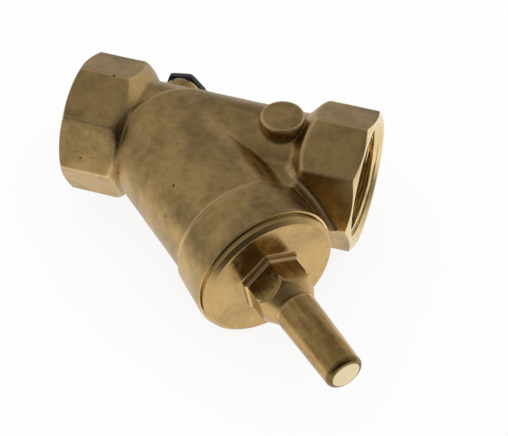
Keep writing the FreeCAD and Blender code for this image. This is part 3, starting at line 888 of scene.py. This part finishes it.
def math_of(tree, operation, first, second=0.0, clamp=False):
    """A math node whose inputs are sockets or values."""
    inputs = {0: first, 1: second}
    node = node_of(tree, "ShaderNodeMath", inputs, operation=operation, use_clamp=clamp)
    return node.outputs[0]


def spread(tree, value, low, high, out_low=0.0, out_high=1.0):
    """Map a value from one range to another, held at both ends."""
    inputs = {
        "Value": value, "From Min": low, "From Max": high, "To Min": out_low, "To Max": out_high
    }
    return node_of(tree, "ShaderNodeMapRange", inputs).outputs["Result"]


def new_group(name, inputs, outputs):
    """A shader node group with named sockets, its given inputs and its output node."""
    group = bpy.data.node_groups.new(name, "ShaderNodeTree")
    for label, kind, default in inputs:
        socket = group.interface.new_socket(label, in_out="INPUT", socket_type=f"NodeSocket{kind}")
        if default is not None:
            socket.default_value = default
    for label, kind in outputs:
        group.interface.new_socket(label, in_out="OUTPUT", socket_type=f"NodeSocket{kind}")
    return group, group.nodes.new("NodeGroupInput").outputs, group.nodes.new("NodeGroupOutput")


@cache
def patina_group():
    """Brass skin: patches of duller and lighter brass, fine speckle and small pits; convex edges
    lightened as wear and painted highlight, creases darkened as painted shade.
    """
    group, given, sink = new_group(
        "Brass Patina",
        [
            ("Base", "Color", rgba((0.5, 0.4, 0.2))),
            ("Dull", "Color", rgba((0.3, 0.2, 0.1))),
            ("Rubbed", "Color", rgba((0.7, 0.6, 0.4))),
            ("Ridge", "Float", 0.0),
            ("Roughness", "Float", 0.4),
            ("Patch Size", "Float", 70.0),
            ("Pits", "Float", 1.0),
            ("Crease Shade", "Float", 0.6),
        ],
        [("Color", "Color"), ("Roughness", "Float"), ("Height", "Float")],
    )
    place = object_place(group)
    patches = noise_of(group, place, given["Patch Size"], 4.0, 0.6)
    mottle = noise_of(group, place, 380.0, 4.0, 0.7)
    grain = noise_of(group, place, 2600.0, 2.0)
    sparse = noise_of(group, place, 95.0, 1.0)
    cells = node_of(
        group, "ShaderNodeTexVoronoi", {"Vector": place, "Scale": 150.0, "Randomness": 1.0}
    )
    pit = math_of(
        group, "MULTIPLY", spread(group, cells.outputs["Distance"], 0.11, 0.04),
        spread(group, sparse, 0.56, 0.63),
    )
    pit = math_of(group, "MULTIPLY", pit, given["Pits"])
    # Ridge lightens convex edges, partly as wear and partly as a painted highlight
    wear_and_sheen = spread(group, given["Ridge"], 0.12, 0.6, 0.0, 0.8)
    # Painted shade in creases: a near-black tint mixed in where the ridge value is negative, by the
    # strength given
    crease_shade_mask = math_of(group, "MULTIPLY", spread(group, given["Ridge"], -0.2, -0.7), given["Crease Shade"])
    painted_crease_shade = mix_colour(group, 0.55, given["Dull"], rgba((0.05, 0.045, 0.03)))

    color = given["Base"]
    for part, tint in (
        (spread(group, patches, 0.42, 0.64, 0.0, 0.85), given["Dull"]),
        (spread(group, mottle, 0.5, 0.72, 0.0, 0.35), given["Rubbed"]),
        (spread(group, mottle, 0.46, 0.28, 0.0, 0.6), given["Dull"]),
        (wear_and_sheen, given["Rubbed"]),
        (crease_shade_mask, painted_crease_shade),
        (math_of(group, "MULTIPLY", pit, 0.8), rgba((0.03, 0.018, 0.008))),
    ):
        color = mix_colour(group, part, color, tint)

    rough = math_of(group, "ADD", given["Roughness"], spread(group, mottle, 0.3, 0.7, -0.07, 0.09))
    rough = math_of(group, "ADD", rough, math_of(group, "MULTIPLY", wear_and_sheen, 0.10))
    rough = math_of(group, "ADD", rough, math_of(group, "MULTIPLY", pit, 0.3), clamp=True)
    height = math_of(group, "MULTIPLY", mottle, 0.5)
    height = math_of(group, "ADD", height, math_of(group, "MULTIPLY", grain, 0.1))
    height = math_of(group, "SUBTRACT", height, math_of(group, "MULTIPLY", pit, 1.4))
    for name, value in (("Color", color), ("Roughness", rough), ("Height", height)):
        feed(group, sink.inputs[name], value)
    return group


@cache
def tool_marks_group():
    """Turning marks: noise in the distance from the X axis and along it, so it runs in rings."""
    group, given, sink = new_group(
        "Turning Marks",
        [("Vector", "Vector", None), ("Pitch", "Float", 3000.0)],
        [("Height", "Float"), ("Shade", "Float")],
    )
    split = node_of(group, "ShaderNodeSeparateXYZ", {0: given["Vector"]}).outputs
    square = [math_of(group, "MULTIPLY", split[i], split[i]) for i in (1, 2)]
    radius = math_of(group, "SQRT", math_of(group, "ADD", *square))
    place = math_of(group, "ADD", radius, split[0])
    fine = node_of(
        group, "ShaderNodeTexNoise", {"W": place, "Scale": given["Pitch"], "Detail": 2.0},
        noise_dimensions="1D",
    )
    feed(group, sink.inputs["Height"], fine.outputs["Fac"])
    feed(group, sink.inputs["Shade"], noise_of(group, given["Vector"], 160.0, 3.0, 0.6))
    return group


def new_material(name):
    """An empty node material with its Principled shader."""
    material = bpy.data.materials.new(name)
    material.use_nodes = True
    tree = material.node_tree
    tree.nodes.clear()
    shader = tree.nodes.new("ShaderNodeBsdfPrincipled")
    node_of(tree, "ShaderNodeOutputMaterial", {"Surface": shader.outputs["BSDF"]})
    return material, tree, shader


def coat(tree, shader, color, rough, height, strength, distance, metallic=1.0):
    """Feed a shader its colour, its roughness and a bump of a strength and distance."""
    inputs = {"Strength": strength, "Distance": distance, "Height": height}
    normal = node_of(tree, "ShaderNodeBump", inputs).outputs["Normal"]
    for name, value in (
        ("Base Color", color), ("Roughness", rough), ("Normal", normal), ("Metallic", metallic)
    ):
        feed(tree, shader.inputs[name], value)


def branch_vector(tree, stretch=1.0):
    """Object coordinates turned so that X runs along the branch axis, stretched along it."""
    inputs = {
        "Vector": object_place(tree), "Location": BRANCH_START * MM,
        "Rotation": (0, 0, -BRANCH_ANGLE), "Scale": (stretch, 1, 1),
    }
    return node_of(tree, "ShaderNodeMapping", inputs, vector_type="TEXTURE").outputs["Vector"]


def paint_streak_reflections(tree, color, rubbed_sheen):
    """A colour with painted streak reflections along the branch, some darker and some brighter."""
    streak_reflection = noise_of(tree, branch_vector(tree, 9.0), 520.0, 3.0, 0.6)
    dark = mix_colour(tree, 1.0, color, rgba((0.55, 0.5, 0.42)), "MULTIPLY")
    color = mix_colour(tree, spread(tree, streak_reflection, 0.48, 0.66, 0.0, 0.7), color, dark)
    bright = mix_colour(tree, 1.0, color, rgba((1.0, 0.98, 0.95)), "MULTIPLY")
    bright = mix_colour(tree, 0.35, bright, rgba(rubbed_sheen))
    return mix_colour(tree, spread(tree, streak_reflection, 0.46, 0.3, 0.0, 0.7), color, bright)


def skin_material(
    name, base, dull, rubbed_sheen, roughness, patch_size, pits, relief, painted_crease_shade=0.6, streaks=False
):
    """A cast or forged brass skin, with painted streak reflections along the branch where asked for.
    """
    material, tree, shader = new_material(name)
    ridge = node_of(tree, "ShaderNodeAttribute", attribute_name="ridge")
    inputs = {
        "Base": rgba(base), "Dull": rgba(dull), "Rubbed": rgba(rubbed_sheen), "Roughness": roughness,
        "Patch Size": patch_size, "Pits": pits, "Crease Shade": painted_crease_shade, "Ridge": ridge.outputs["Fac"],
    }
    patina = node_of(tree, "ShaderNodeGroup", inputs, node_tree=patina_group()).outputs
    color = paint_streak_reflections(tree, patina["Color"], rubbed_sheen) if streaks else patina["Color"]
    coat(tree, shader, color, patina["Roughness"], patina["Height"], relief, 0.0002)
    return material


def turned_material(name, base, roughness, on_branch, marks=0.25, shade=0.18):
    """Turned metal with fine rings about the pipe axis or the branch axis."""
    material, tree, shader = new_material(name)
    place = branch_vector(tree) if on_branch else object_place(tree)
    rings = node_of(
        tree, "ShaderNodeGroup", {"Vector": place}, node_tree=tool_marks_group()
    ).outputs
    part = spread(tree, rings["Shade"], 0.45, 0.75, 0.0, shade * 3)
    color = mix_colour(tree, part, rgba(base), rgba([c * 0.72 for c in base]))
    rough = spread(tree, rings["Height"], 0.3, 0.7, roughness - 0.05, roughness + 0.07)
    coat(tree, shader, color, rough, rings["Height"], marks, 0.00005)
    return material


def moulded_material(name, base, roughness, scale, relief):
    """Moulded plastic or rubber: a fine even grain."""
    material, tree, shader = new_material(name)
    grain = noise_of(tree, object_place(tree), scale, 3.0)
    light = rgba([min(1, c * 1.8 + 0.01) for c in base])
    color = mix_colour(tree, spread(tree, grain, 0.45, 0.8), rgba(base), light)
    rough = spread(tree, grain, 0.3, 0.7, roughness - 0.06, roughness + 0.08)
    coat(tree, shader, color, rough, grain, relief, 0.0001, metallic=0.0)
    return material


@cache
def finish(name):
    """A material by name, built once from the scene's colours."""
    look = bpy.context.scene.valve_finishes
    forged_gloss = look.cast_gloss - 0.06
    makers = {
        "cast brass": lambda n: skin_material(
            n, look.cast, look.cast_dark, look.cast_rubbed_sheen, look.cast_gloss, 70.0, 1.0, 0.5
        ),
        "forged brass": lambda n: skin_material(
            n, look.forged, [c * 0.72 for c in look.forged], look.cast_rubbed_sheen, forged_gloss,
            60.0, 0.15, 0.3,
        ),
        # The sleeve's skin takes painted streak reflections and more painted shade in its creases
        "drawn brass": lambda n: skin_material(
            n, look.drawn, [c * 0.7 for c in look.drawn], look.cast_rubbed_sheen, forged_gloss,
            90.0, 0.3, 0.3, 0.8, True,
        ),
        "turned ends": lambda n: turned_material(n, look.turned, look.turned_gloss, False, 0.12),
        "turned bonnet": lambda n: turned_material(n, look.forged, look.turned_gloss + 0.06, True),
        "turned parts": lambda n: turned_material(n, look.turned, look.turned_gloss, True),
        "ground brass": lambda n: turned_material(n, look.ground, 0.3, True, 0.15, 0.08),
        "gasket": lambda n: turned_material(n, look.gasket, 0.34, True),
        "stainless": lambda n: turned_material(n, look.steel, 0.26, True),
        "rubber": lambda n: moulded_material(n, look.rubber, 0.62, 1800.0, 0.3),
        "plug plastic": lambda n: moulded_material(n, look.plug, 0.48, 2400.0, 0.35),
    }
    return makers[name](name)


def set_ridge(piece, values):
    """Store how far each point lies on an edge or in a crease, with painted highlight and shade marks
    added; the skin lightens and darkens by it.
    """
    layer = piece.data.attributes.new("ridge", "FLOAT", "POINT")
    layer.data.foreach_set("value", np.asarray(values, np.float32))


# Operators: one for each piece or group of like pieces

def body_ridge_and_sheen(points, size):
    """Ridge values of the skin: its convexity, which lightens edges as wear and painted highlight and
    darkens creases as painted shade, raised to a painted highlight along the rib's top and along the
    line behind the collar.
    """
    rubbed_sheen, rib_fall, line_gap, line_bottom = 0.8, 3, 1.2, -12
    x, y, z = points.T
    # Painted highlight along the rib's top, and along the line just behind the collar's back edge
    # above a height
    rib_highlight = rubbed_sheen - rib_fall * np.abs(rib_field(x, y, z, size))
    station, across = branch_places(x, y)
    off_line = np.hypot(station - size.collar_back + line_gap, np.hypot(across, z) - size.barrel)
    collar_line_highlight = np.where(z > line_bottom, rubbed_sheen - off_line, 0)
    return np.maximum(np.maximum(ridge_share(points, size), rib_highlight), collar_line_highlight)


class VALVE_OT_body(bpy.types.Operator):
    """Cast body: a distance field meshed cell by cell, joined to its turned ends and bored walls"""

    bl_idname = "valve.body"
    bl_label = "Cast Body"

    def execute(self, context):
        size = in_mm(context.scene.valve_body)
        whole = build_body_mesh(size)
        mesh = bpy.data.meshes.new("cast_body")
        whole.to_mesh(mesh)
        whole.free()
        points = np.empty(len(mesh.vertices) * 3)
        mesh.vertices.foreach_get("co", points)
        ridge = body_ridge_and_sheen(points.reshape(-1, 3), size)
        mesh.transform(Matrix.Scale(MM, 4))
        for name in ("cast brass", "turned ends"):
            mesh.materials.append(finish(name))
        mesh.shade_smooth()
        limits = {frozenset({TURNED}): 28, frozenset({CAST, TURNED}): 14}
        mark_sharp(mesh, lambda kinds: limits.get(frozenset(kinds)))
        piece = bpy.data.objects.new("cast_body", mesh)
        context.scene.collection.objects.link(piece)
        set_ridge(piece, ridge)
        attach(piece, "valve")
        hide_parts("valve_body")
        return {"FINISHED"}


# Marks in place of a radius: rows on the wrench block's flats, on its forged root and at its foot
ON_FLATS, ON_ROOT, AT_FOOT = 30.0, 31.0, 14.1

WRENCH_TURN = math.radians(10)


def bonnet_profile(size):
    """Rows (station, radius, kind) of the bonnet from the sleeve's tip over the outside and inside."""
    forged, turned, ground, drawn = range(4)
    shoulder, sleeve_top, sleeve_root = 1.7, 126.0, 97.4
    taper = (size.sleeve_end - size.sleeve) / (sleeve_top - sleeve_root)
    face, back, rim, slope = size.flange_face, size.flange_back, size.flange, size.bevel
    rows = []

    def add(kind, places):
        rows.extend((station, radius, kind) for station, radius in places)

    # Ground end, rounded shoulder and tapered sleeve
    add(ground, [(size.tip, r) for r in (0.0, 1.5, 3.0, 4.3, size.tip_face - 0.12)])
    add(ground, [(size.tip - 0.04, size.tip_face)])
    reach = size.sleeve_end - size.tip_face - 0.1
    for t in np.linspace(0.0, math.pi / 2, 7):
        depth = 0.12 + shoulder * (1 - math.cos(t))
        add(drawn, [(size.tip - depth, size.tip_face + 0.1 + reach * math.sin(t))])
    stations = (sleeve_top, 122.0, 117.0, 112.0, 107.0, 102.0, 98.4, 97.6)
    add(drawn, [(s, size.sleeve + taper * (s - sleeve_root)) for s in stations])
    # Groove at the sleeve's root and the turned cone below it
    add(forged, [(97.3, 7.56), (97.12, 7.5)])
    add(turned, [(97.02, 7.34), (96.93, 7.32), (96.8, 7.5), (96.5, 7.82), (96.0, 8.12)])
    add(turned, [(95.4, 8.47), (94.7, 8.88), (94.05, 9.27)])
    # Wrench block and its forged root
    add(turned, [(s, ON_FLATS) for s in np.arange(93.8, 91.2, -0.15)])
    add(drawn, [(s, ON_FLATS) for s in np.arange(91.2, 88.4, -0.12)])
    add(drawn, [(s, ON_FLATS) for s in (88.0, 86.8, 85.6, 84.5, 83.8, 83.42)])
    add(forged, [(s, ON_ROOT) for s in (83.4, 83.3, 83.1, 82.9, 82.7, 82.4, 82.0, 81.6)])
    add(forged, [(face + rise, ON_ROOT) for rise in (0.6, 0.4, 0.22, 0.1, 0.03)])
    # Flange: its face, bevel, rim and back
    add(forged, [(face, r) for r in (AT_FOOT, 15.2, 17.0, 19.5, 21.5, 23.0, rim - slope - 0.35)])
    add(turned, [(face - 0.04, rim - slope - 0.12)])
    for part in (0.0, 0.12, 0.5, 0.88, 1.0):
        fall = (slope - 0.3) * part
        add(turned, [(face - 0.14 - fall, rim - slope + 0.08 + fall)])
    add(turned, [(face - slope - 0.06, rim - 0.04), (face - slope - 0.2, rim)])
    add(turned, [(back + 0.4, rim), (back, rim - 0.35), (back, 23.5), (back, size.spigot)])
    # Spigot, the hollow behind the disc and the stepped bore of the sleeve
    add(turned, [(64.7, size.spigot), (64.2, size.spigot - 0.5), (64.2, 17.8), (64.5, 17.5)])
    add(turned, [(70.0, 17.5), (74.2, 17.5), (74.2, 12.0), (74.2, 7.5), (84.2, 7.5)])
    add(turned, [(84.2, 4.35), (100.0, 4.35), (122.3, 4.35), (122.3, 0.0)])
    return rows


def bonnet_radius(size, ridge):
    """Radius of a bonnet row round the turn: the wrench block's flats are cut by its turned cone.

    The painted highlights of a row, such as the two arcs where a flat runs out, and the painted shade
    on the sleeve end's shoulder, are noted in ridge.
    """
    cone_at = np.array([83.0, 91.1, 92.1, 93.0, 94.05])
    cone = np.array([13.0, 11.3, 10.5, 9.85, 9.27])
    root_depth = [0, 0.1, 0.5, 0.7, 1.8, 2.1, 2.3, 2.48, 2.6, 2.67]
    root_flats = [19.9, 20.3, 21.1, 21.3, size.base_flats, 21.6, 21.9, 22.5, 23.3, 24.0]
    foot_flats, foot_radius = 25.6, 14.4
    flat_round, root_round, foot_round = 0.012, 0.04, 0.06
    line_width, line_gap, chamfer = 0.13, 0.52, 0.15
    rubbed_sheen, root_highlight, shoulder_shade = 0.55, 0.6, -0.8

    def block(angles, flats, softness):
        return polygon_radius(angles, flats, 6, WRENCH_TURN, softness)

    def radius_of(row, station, radius, angles):
        mark = radius[0]
        even = 0 * angles
        # Painted highlight on the ring at the sleeve's root, and painted shade on the rounded shoulder
        # at the sleeve's end
        if 97.0 < station < 97.7:
            ridge[row] = rubbed_sheen + even
        elif station > 126.4 and size.tip_face < mark < 20:
            ridge[row] = shoulder_shade + even
        if mark == ON_FLATS:
            bar = block(angles, size.wrench_flats - 2 * chamfer, flat_round)
            edge = np.interp(station, cone_at, cone)
            under = edge - bar
            bar = bar + chamfer * smooth_step(under, line_gap - 0.1, line_gap + 0.1)
            # Painted highlights along the two arcs where each flat runs out
            ridge[row] = sum(np.exp(-(((under - at) / line_width) ** 2)) for at in (0, line_gap))
            return np.minimum(bar, edge)
        if mark == ON_ROOT:
            depth = size.base_top - station
            # Painted highlight along the top of the forged root, fading out between 0.6 and 1 mm below
            # its top
            ridge[row] = root_highlight * (1 - smooth_step(depth, 0.6, 1.0)) + even
            return block(angles, np.interp(depth, root_depth, root_flats), root_round)
        if mark == AT_FOOT:
            return 0.5 * (block(angles, foot_flats, foot_round) + foot_radius)
        return radius

    return radius_of


class VALVE_OT_bonnet(bpy.types.Operator):
    """Bonnet: one profile turned about the branch axis, with six flats on its wrench block"""

    bl_idname = "valve.bonnet"
    bl_label = "Bonnet"

    def execute(self, context):
        size = in_mm(context.scene.valve_bonnet)
        rows = bonnet_profile(size)
        angles, ridge = corner_angles(48, 6, WRENCH_TURN), {}
        points, faces, row_of_face = turned_shape(rows, angles, bonnet_radius(size, ridge))
        kinds = np.array([row[2] for row in rows])[row_of_face]
        names = ("forged brass", "turned bonnet", "ground brass", "drawn brass")
        piece = new_object("bonnet_shell", points, faces, [finish(n) for n in names], kinds)
        mark_sharp(piece.data, lambda _: 26)
        blank = np.zeros(len(angles))
        edges = [ridge.get(row, blank) for row in range(1, len(rows) - 1)]
        set_ridge(piece, np.concatenate([*edges, np.zeros(2)]))
        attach(piece, "valve")
        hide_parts("bonnet")
        return {"FINISHED"}


class VALVE_OT_inner_parts(bpy.types.Operator):
    """Gasket, inner parts, seals and test plug: their solids with their own finishes"""

    bl_idname = "valve.inner_parts"
    bl_label = "Gasket, Inner Parts and Plug"

    def execute(self, context):
        for name, material in (
            ("bonnet_gasket", "gasket"),
            ("guide_bush", "turned parts"),
            ("stem", "turned parts"),
            ("disc_holder", "turned parts"),
            ("retaining_plate", "turned parts"),
            ("lock_washer", "stainless"),
            ("retaining_nut", "stainless"),
            ("seal_washer", "rubber"),
            ("test_plug_seal", "rubber"),
            ("test_plug", "plug plastic"),
        ):
            node = NODES[name]
            node.data.materials.clear()
            node.data.materials.append(finish(material))
        return {"FINISHED"}


class VALVE_OT_spring(bpy.types.Operator):
    """Closing spring: a round wire carried along a helix whose pitch closes at both ends"""

    bl_idname = "valve.spring"
    bl_label = "Closing Spring"

    def execute(self, context):
        coil, wire, turns, steps_per_turn = 8.0, 0.6, 9, 40
        low, high, seat, closed, lift = 20.65, 71.55, 72.2, 52.2, 10
        dead, dead_rise = 0.08, 0.028
        steps = np.linspace(0, 1, turns * steps_per_turn + 1)
        rise = np.interp(steps, [0, dead, 1 - dead, 1], [0, dead_rise, 1 - dead_rise, 1])
        angle = steps * turns * 2 * math.pi
        middle = about_branch(low + (high - low) * rise, coil + 0 * steps, angle)
        ahead = np.gradient(middle, axis=0)
        ahead /= np.linalg.norm(ahead, axis=1)[:, None]
        outward = about_branch(0 * steps, 1 + 0 * steps, angle) - BRANCH_START
        side = np.cross(ahead, outward)
        side /= np.linalg.norm(side, axis=1)[:, None]
        outward = np.cross(side, ahead)
        around = even_angles(14)[None, :, None]
        rings = middle[:, None] + wire * (
            np.cos(around) * outward[:, None] + np.sin(around) * side[:, None]
        )
        points = rings.reshape(-1, 3)
        columns = rings.shape[1]
        faces = grid_faces(len(steps), columns)[:, ::-1].tolist()
        faces += [list(range(columns)), list(range(len(points) - 1, len(points) - 1 - columns, -1))]
        piece = new_object("spring_wire", points, faces, [finish("stainless")])
        mark_sharp(piece.data, lambda _: 60)
        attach(piece, "valve")
        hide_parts("closing_spring")
        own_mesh(piece)
        return {"FINISHED"}


class VALVE_OT_stage(bpy.types.Operator):
    """Stage: pale floor, soft world light and the camera"""

    bl_idname = "valve.stage"
    bl_label = "Stage"

    def execute(self, context):
        scene = context.scene
        stage = scene.valve_stage
        half = stage.floor_size / 2
        mesh = bpy.data.meshes.new("floor")
        corners = [(-half, -half), (half, -half), (half, half), (-half, half)]
        mesh.from_pydata([(x, y, stage.floor_height) for x, y in corners], [], [(0, 1, 2, 3)])
        floor = bpy.data.objects.new("floor", mesh)
        scene.collection.objects.link(floor)
        mesh.materials.append(self.floor_material(stage))
        self.light(scene, stage)
        self.aim(scene, stage)
        scene.view_settings.view_transform = "Standard"
        return {"FINISHED"}

    def floor_material(self, stage):
        """Pale matte floor, lifted to white for the camera; reflections see it fade to one side."""
        material = bpy.data.materials.new("floor")
        material.use_nodes = True
        tree = material.node_tree
        tree.nodes.clear()
        far_way = (0.77, -0.64, 0.0)
        inputs = {0: object_place(tree), 1: far_way}
        reach = node_of(tree, "ShaderNodeVectorMath", inputs, operation="DOT_PRODUCT").outputs["Value"]
        left = spread(tree, reach, 0.01, -0.05)
        far = spread(tree, reach, 0.13, 0.35)
        pale = mix_colour(tree, left, rgba(stage.floor_colour), grey(stage.left_floor))
        pale = mix_colour(tree, far, pale, grey(stage.far_floor))
        camera = tree.nodes.new("ShaderNodeLightPath").outputs["Is Camera Ray"]
        color = mix_colour(tree, camera, pale, grey(1))
        matte = node_of(tree, "ShaderNodeBsdfDiffuse", {"Color": rgba(stage.floor_colour)})
        glow = node_of(tree, "ShaderNodeEmission", {"Color": color, "Strength": 1.0})
        lift = math_of(tree, "MULTIPLY", seen_rays(tree), spread(tree, camera, 0.0, 1.0, 0.7, 0.88))
        mix = node_of(
            tree, "ShaderNodeMixShader", {0: lift, 1: matte.outputs[0], 2: glow.outputs[0]}
        )
        node_of(tree, "ShaderNodeOutputMaterial", {"Surface": mix.outputs[0]})
        return material

    def light(self, scene, stage):
        """World light: white to the camera and to matte surfaces, and a plain studio to gloss.

        Each part of the studio has a direction, how squarely a ray must face it before it starts
        and until it is full, and its brightness. The last one is the floor's white from below.
        """
        world = bpy.data.worlds.new("studio")
        scene.world = world
        world.use_nodes = True
        tree = world.node_tree
        tree.nodes.clear()
        way = tree.nodes.new("ShaderNodeTexCoord").outputs["Generated"]
        level = grey(stage.room_light)
        for aim, low, high, value in (
            ((-0.908, 0.243, 0.342), 0.55, 0.98, stage.left_light),
            ((0.640, 0.763, 0.087), 0.72, 0.98, stage.window_light),
            ((0.453, -0.785, 0.423), 0.35, 0.92, stage.dark_light),
            ((0.0, 0.0, -1.0), 0.03, 0.2, 1.0),
        ):
            dot = node_of(tree, "ShaderNodeVectorMath", {0: way, 1: aim}, operation="DOT_PRODUCT")
            near = spread(tree, dot.outputs["Value"], low, high)
            level = mix_colour(tree, near, level, grey(value))
        studio = node_of(tree, "ShaderNodeBackground", {"Color": level})
        white = node_of(tree, "ShaderNodeBackground", {"Color": grey(1), "Strength": 1.0})
        ray = tree.nodes.new("ShaderNodeLightPath").outputs
        plain = math_of(tree, "MAXIMUM", ray["Is Camera Ray"], ray["Is Diffuse Ray"])
        mix = node_of(
            tree, "ShaderNodeMixShader", {0: plain, 1: studio.outputs[0], 2: white.outputs[0]}
        )
        node_of(tree, "ShaderNodeOutputWorld", {"Surface": mix.outputs[0]})

    def aim(self, scene, stage):
        """The camera, where the fitted perspective puts it, with its three directions."""
        data = bpy.data.cameras.new("camera")
        data.sensor_width = 36.0
        data.sensor_fit = "HORIZONTAL"
        data.lens = stage.lens
        data.shift_x, data.shift_y = 0.0128, 0.0392
        data.clip_start, data.clip_end = 0.01, 20
        camera = bpy.data.objects.new("camera", data)
        place = Vector((185.807, -364.951, 385.308)) * MM
        right = Vector((0.95181, 0.30658, -0.00764))
        down = Vector((0.22402, -0.71207, -0.66541))
        ahead = Vector((-0.20944, 0.63164, -0.74644))
        turn = Matrix((right, -down, -ahead)).transposed().to_4x4()
        camera.matrix_world = Matrix.Translation(place) @ turn
        scene.collection.objects.link(camera)
        scene.camera = camera


def seen_rays(tree):
    """1 for rays from the camera, reflections and glass, so they see the white background."""
    ray = tree.nodes.new("ShaderNodeLightPath")
    seen = math_of(tree, "MAXIMUM", ray.outputs["Is Camera Ray"], ray.outputs["Is Glossy Ray"])
    return math_of(tree, "MAXIMUM", seen, ray.outputs["Is Transmission Ray"])


OPERATORS = (
    VALVE_OT_body, VALVE_OT_bonnet, VALVE_OT_inner_parts, VALVE_OT_spring, VALVE_OT_stage
)
GROUP_CLASSES = {
    "valve_body": BodySizes,
    "valve_bonnet": BonnetSizes,
    "valve_finishes": Finishes,
    "valve_stage": StageSettings,
}


class VALVE_PT_panel(bpy.types.Panel):
    """The valve's pieces, sizes and finishes."""

    bl_idname = "VALVE_PT_panel"
    bl_label = "Valve"
    bl_space_type = "VIEW_3D"
    bl_region_type = "UI"
    bl_category = "Valve"

    def draw(self, context):
        for operator in OPERATORS:
            self.layout.operator(operator.bl_idname)
        for name, group in GROUP_CLASSES.items():
            box = self.layout.box()
            for prop in group.__annotations__:
                box.prop(getattr(context.scene, name), prop)


def register():
    for name, group in GROUP_CLASSES.items():
        bpy.utils.register_class(group)
        setattr(bpy.types.Scene, name, PointerProperty(type=group))
    for item in (*OPERATORS, VALVE_PT_panel):
        bpy.utils.register_class(item)


def unregister():
    for item in (VALVE_PT_panel, *reversed(OPERATORS)):
        bpy.utils.unregister_class(item)
    for name, group in GROUP_CLASSES.items():
        delattr(bpy.types.Scene, name)
        bpy.utils.unregister_class(group)


def main():
    """Build everything in order."""
    register()
    for operator in OPERATORS:
        group, name = operator.bl_idname.split(".")
        getattr(getattr(bpy.ops, group), name)()


if __name__ == "__main__":
    main()
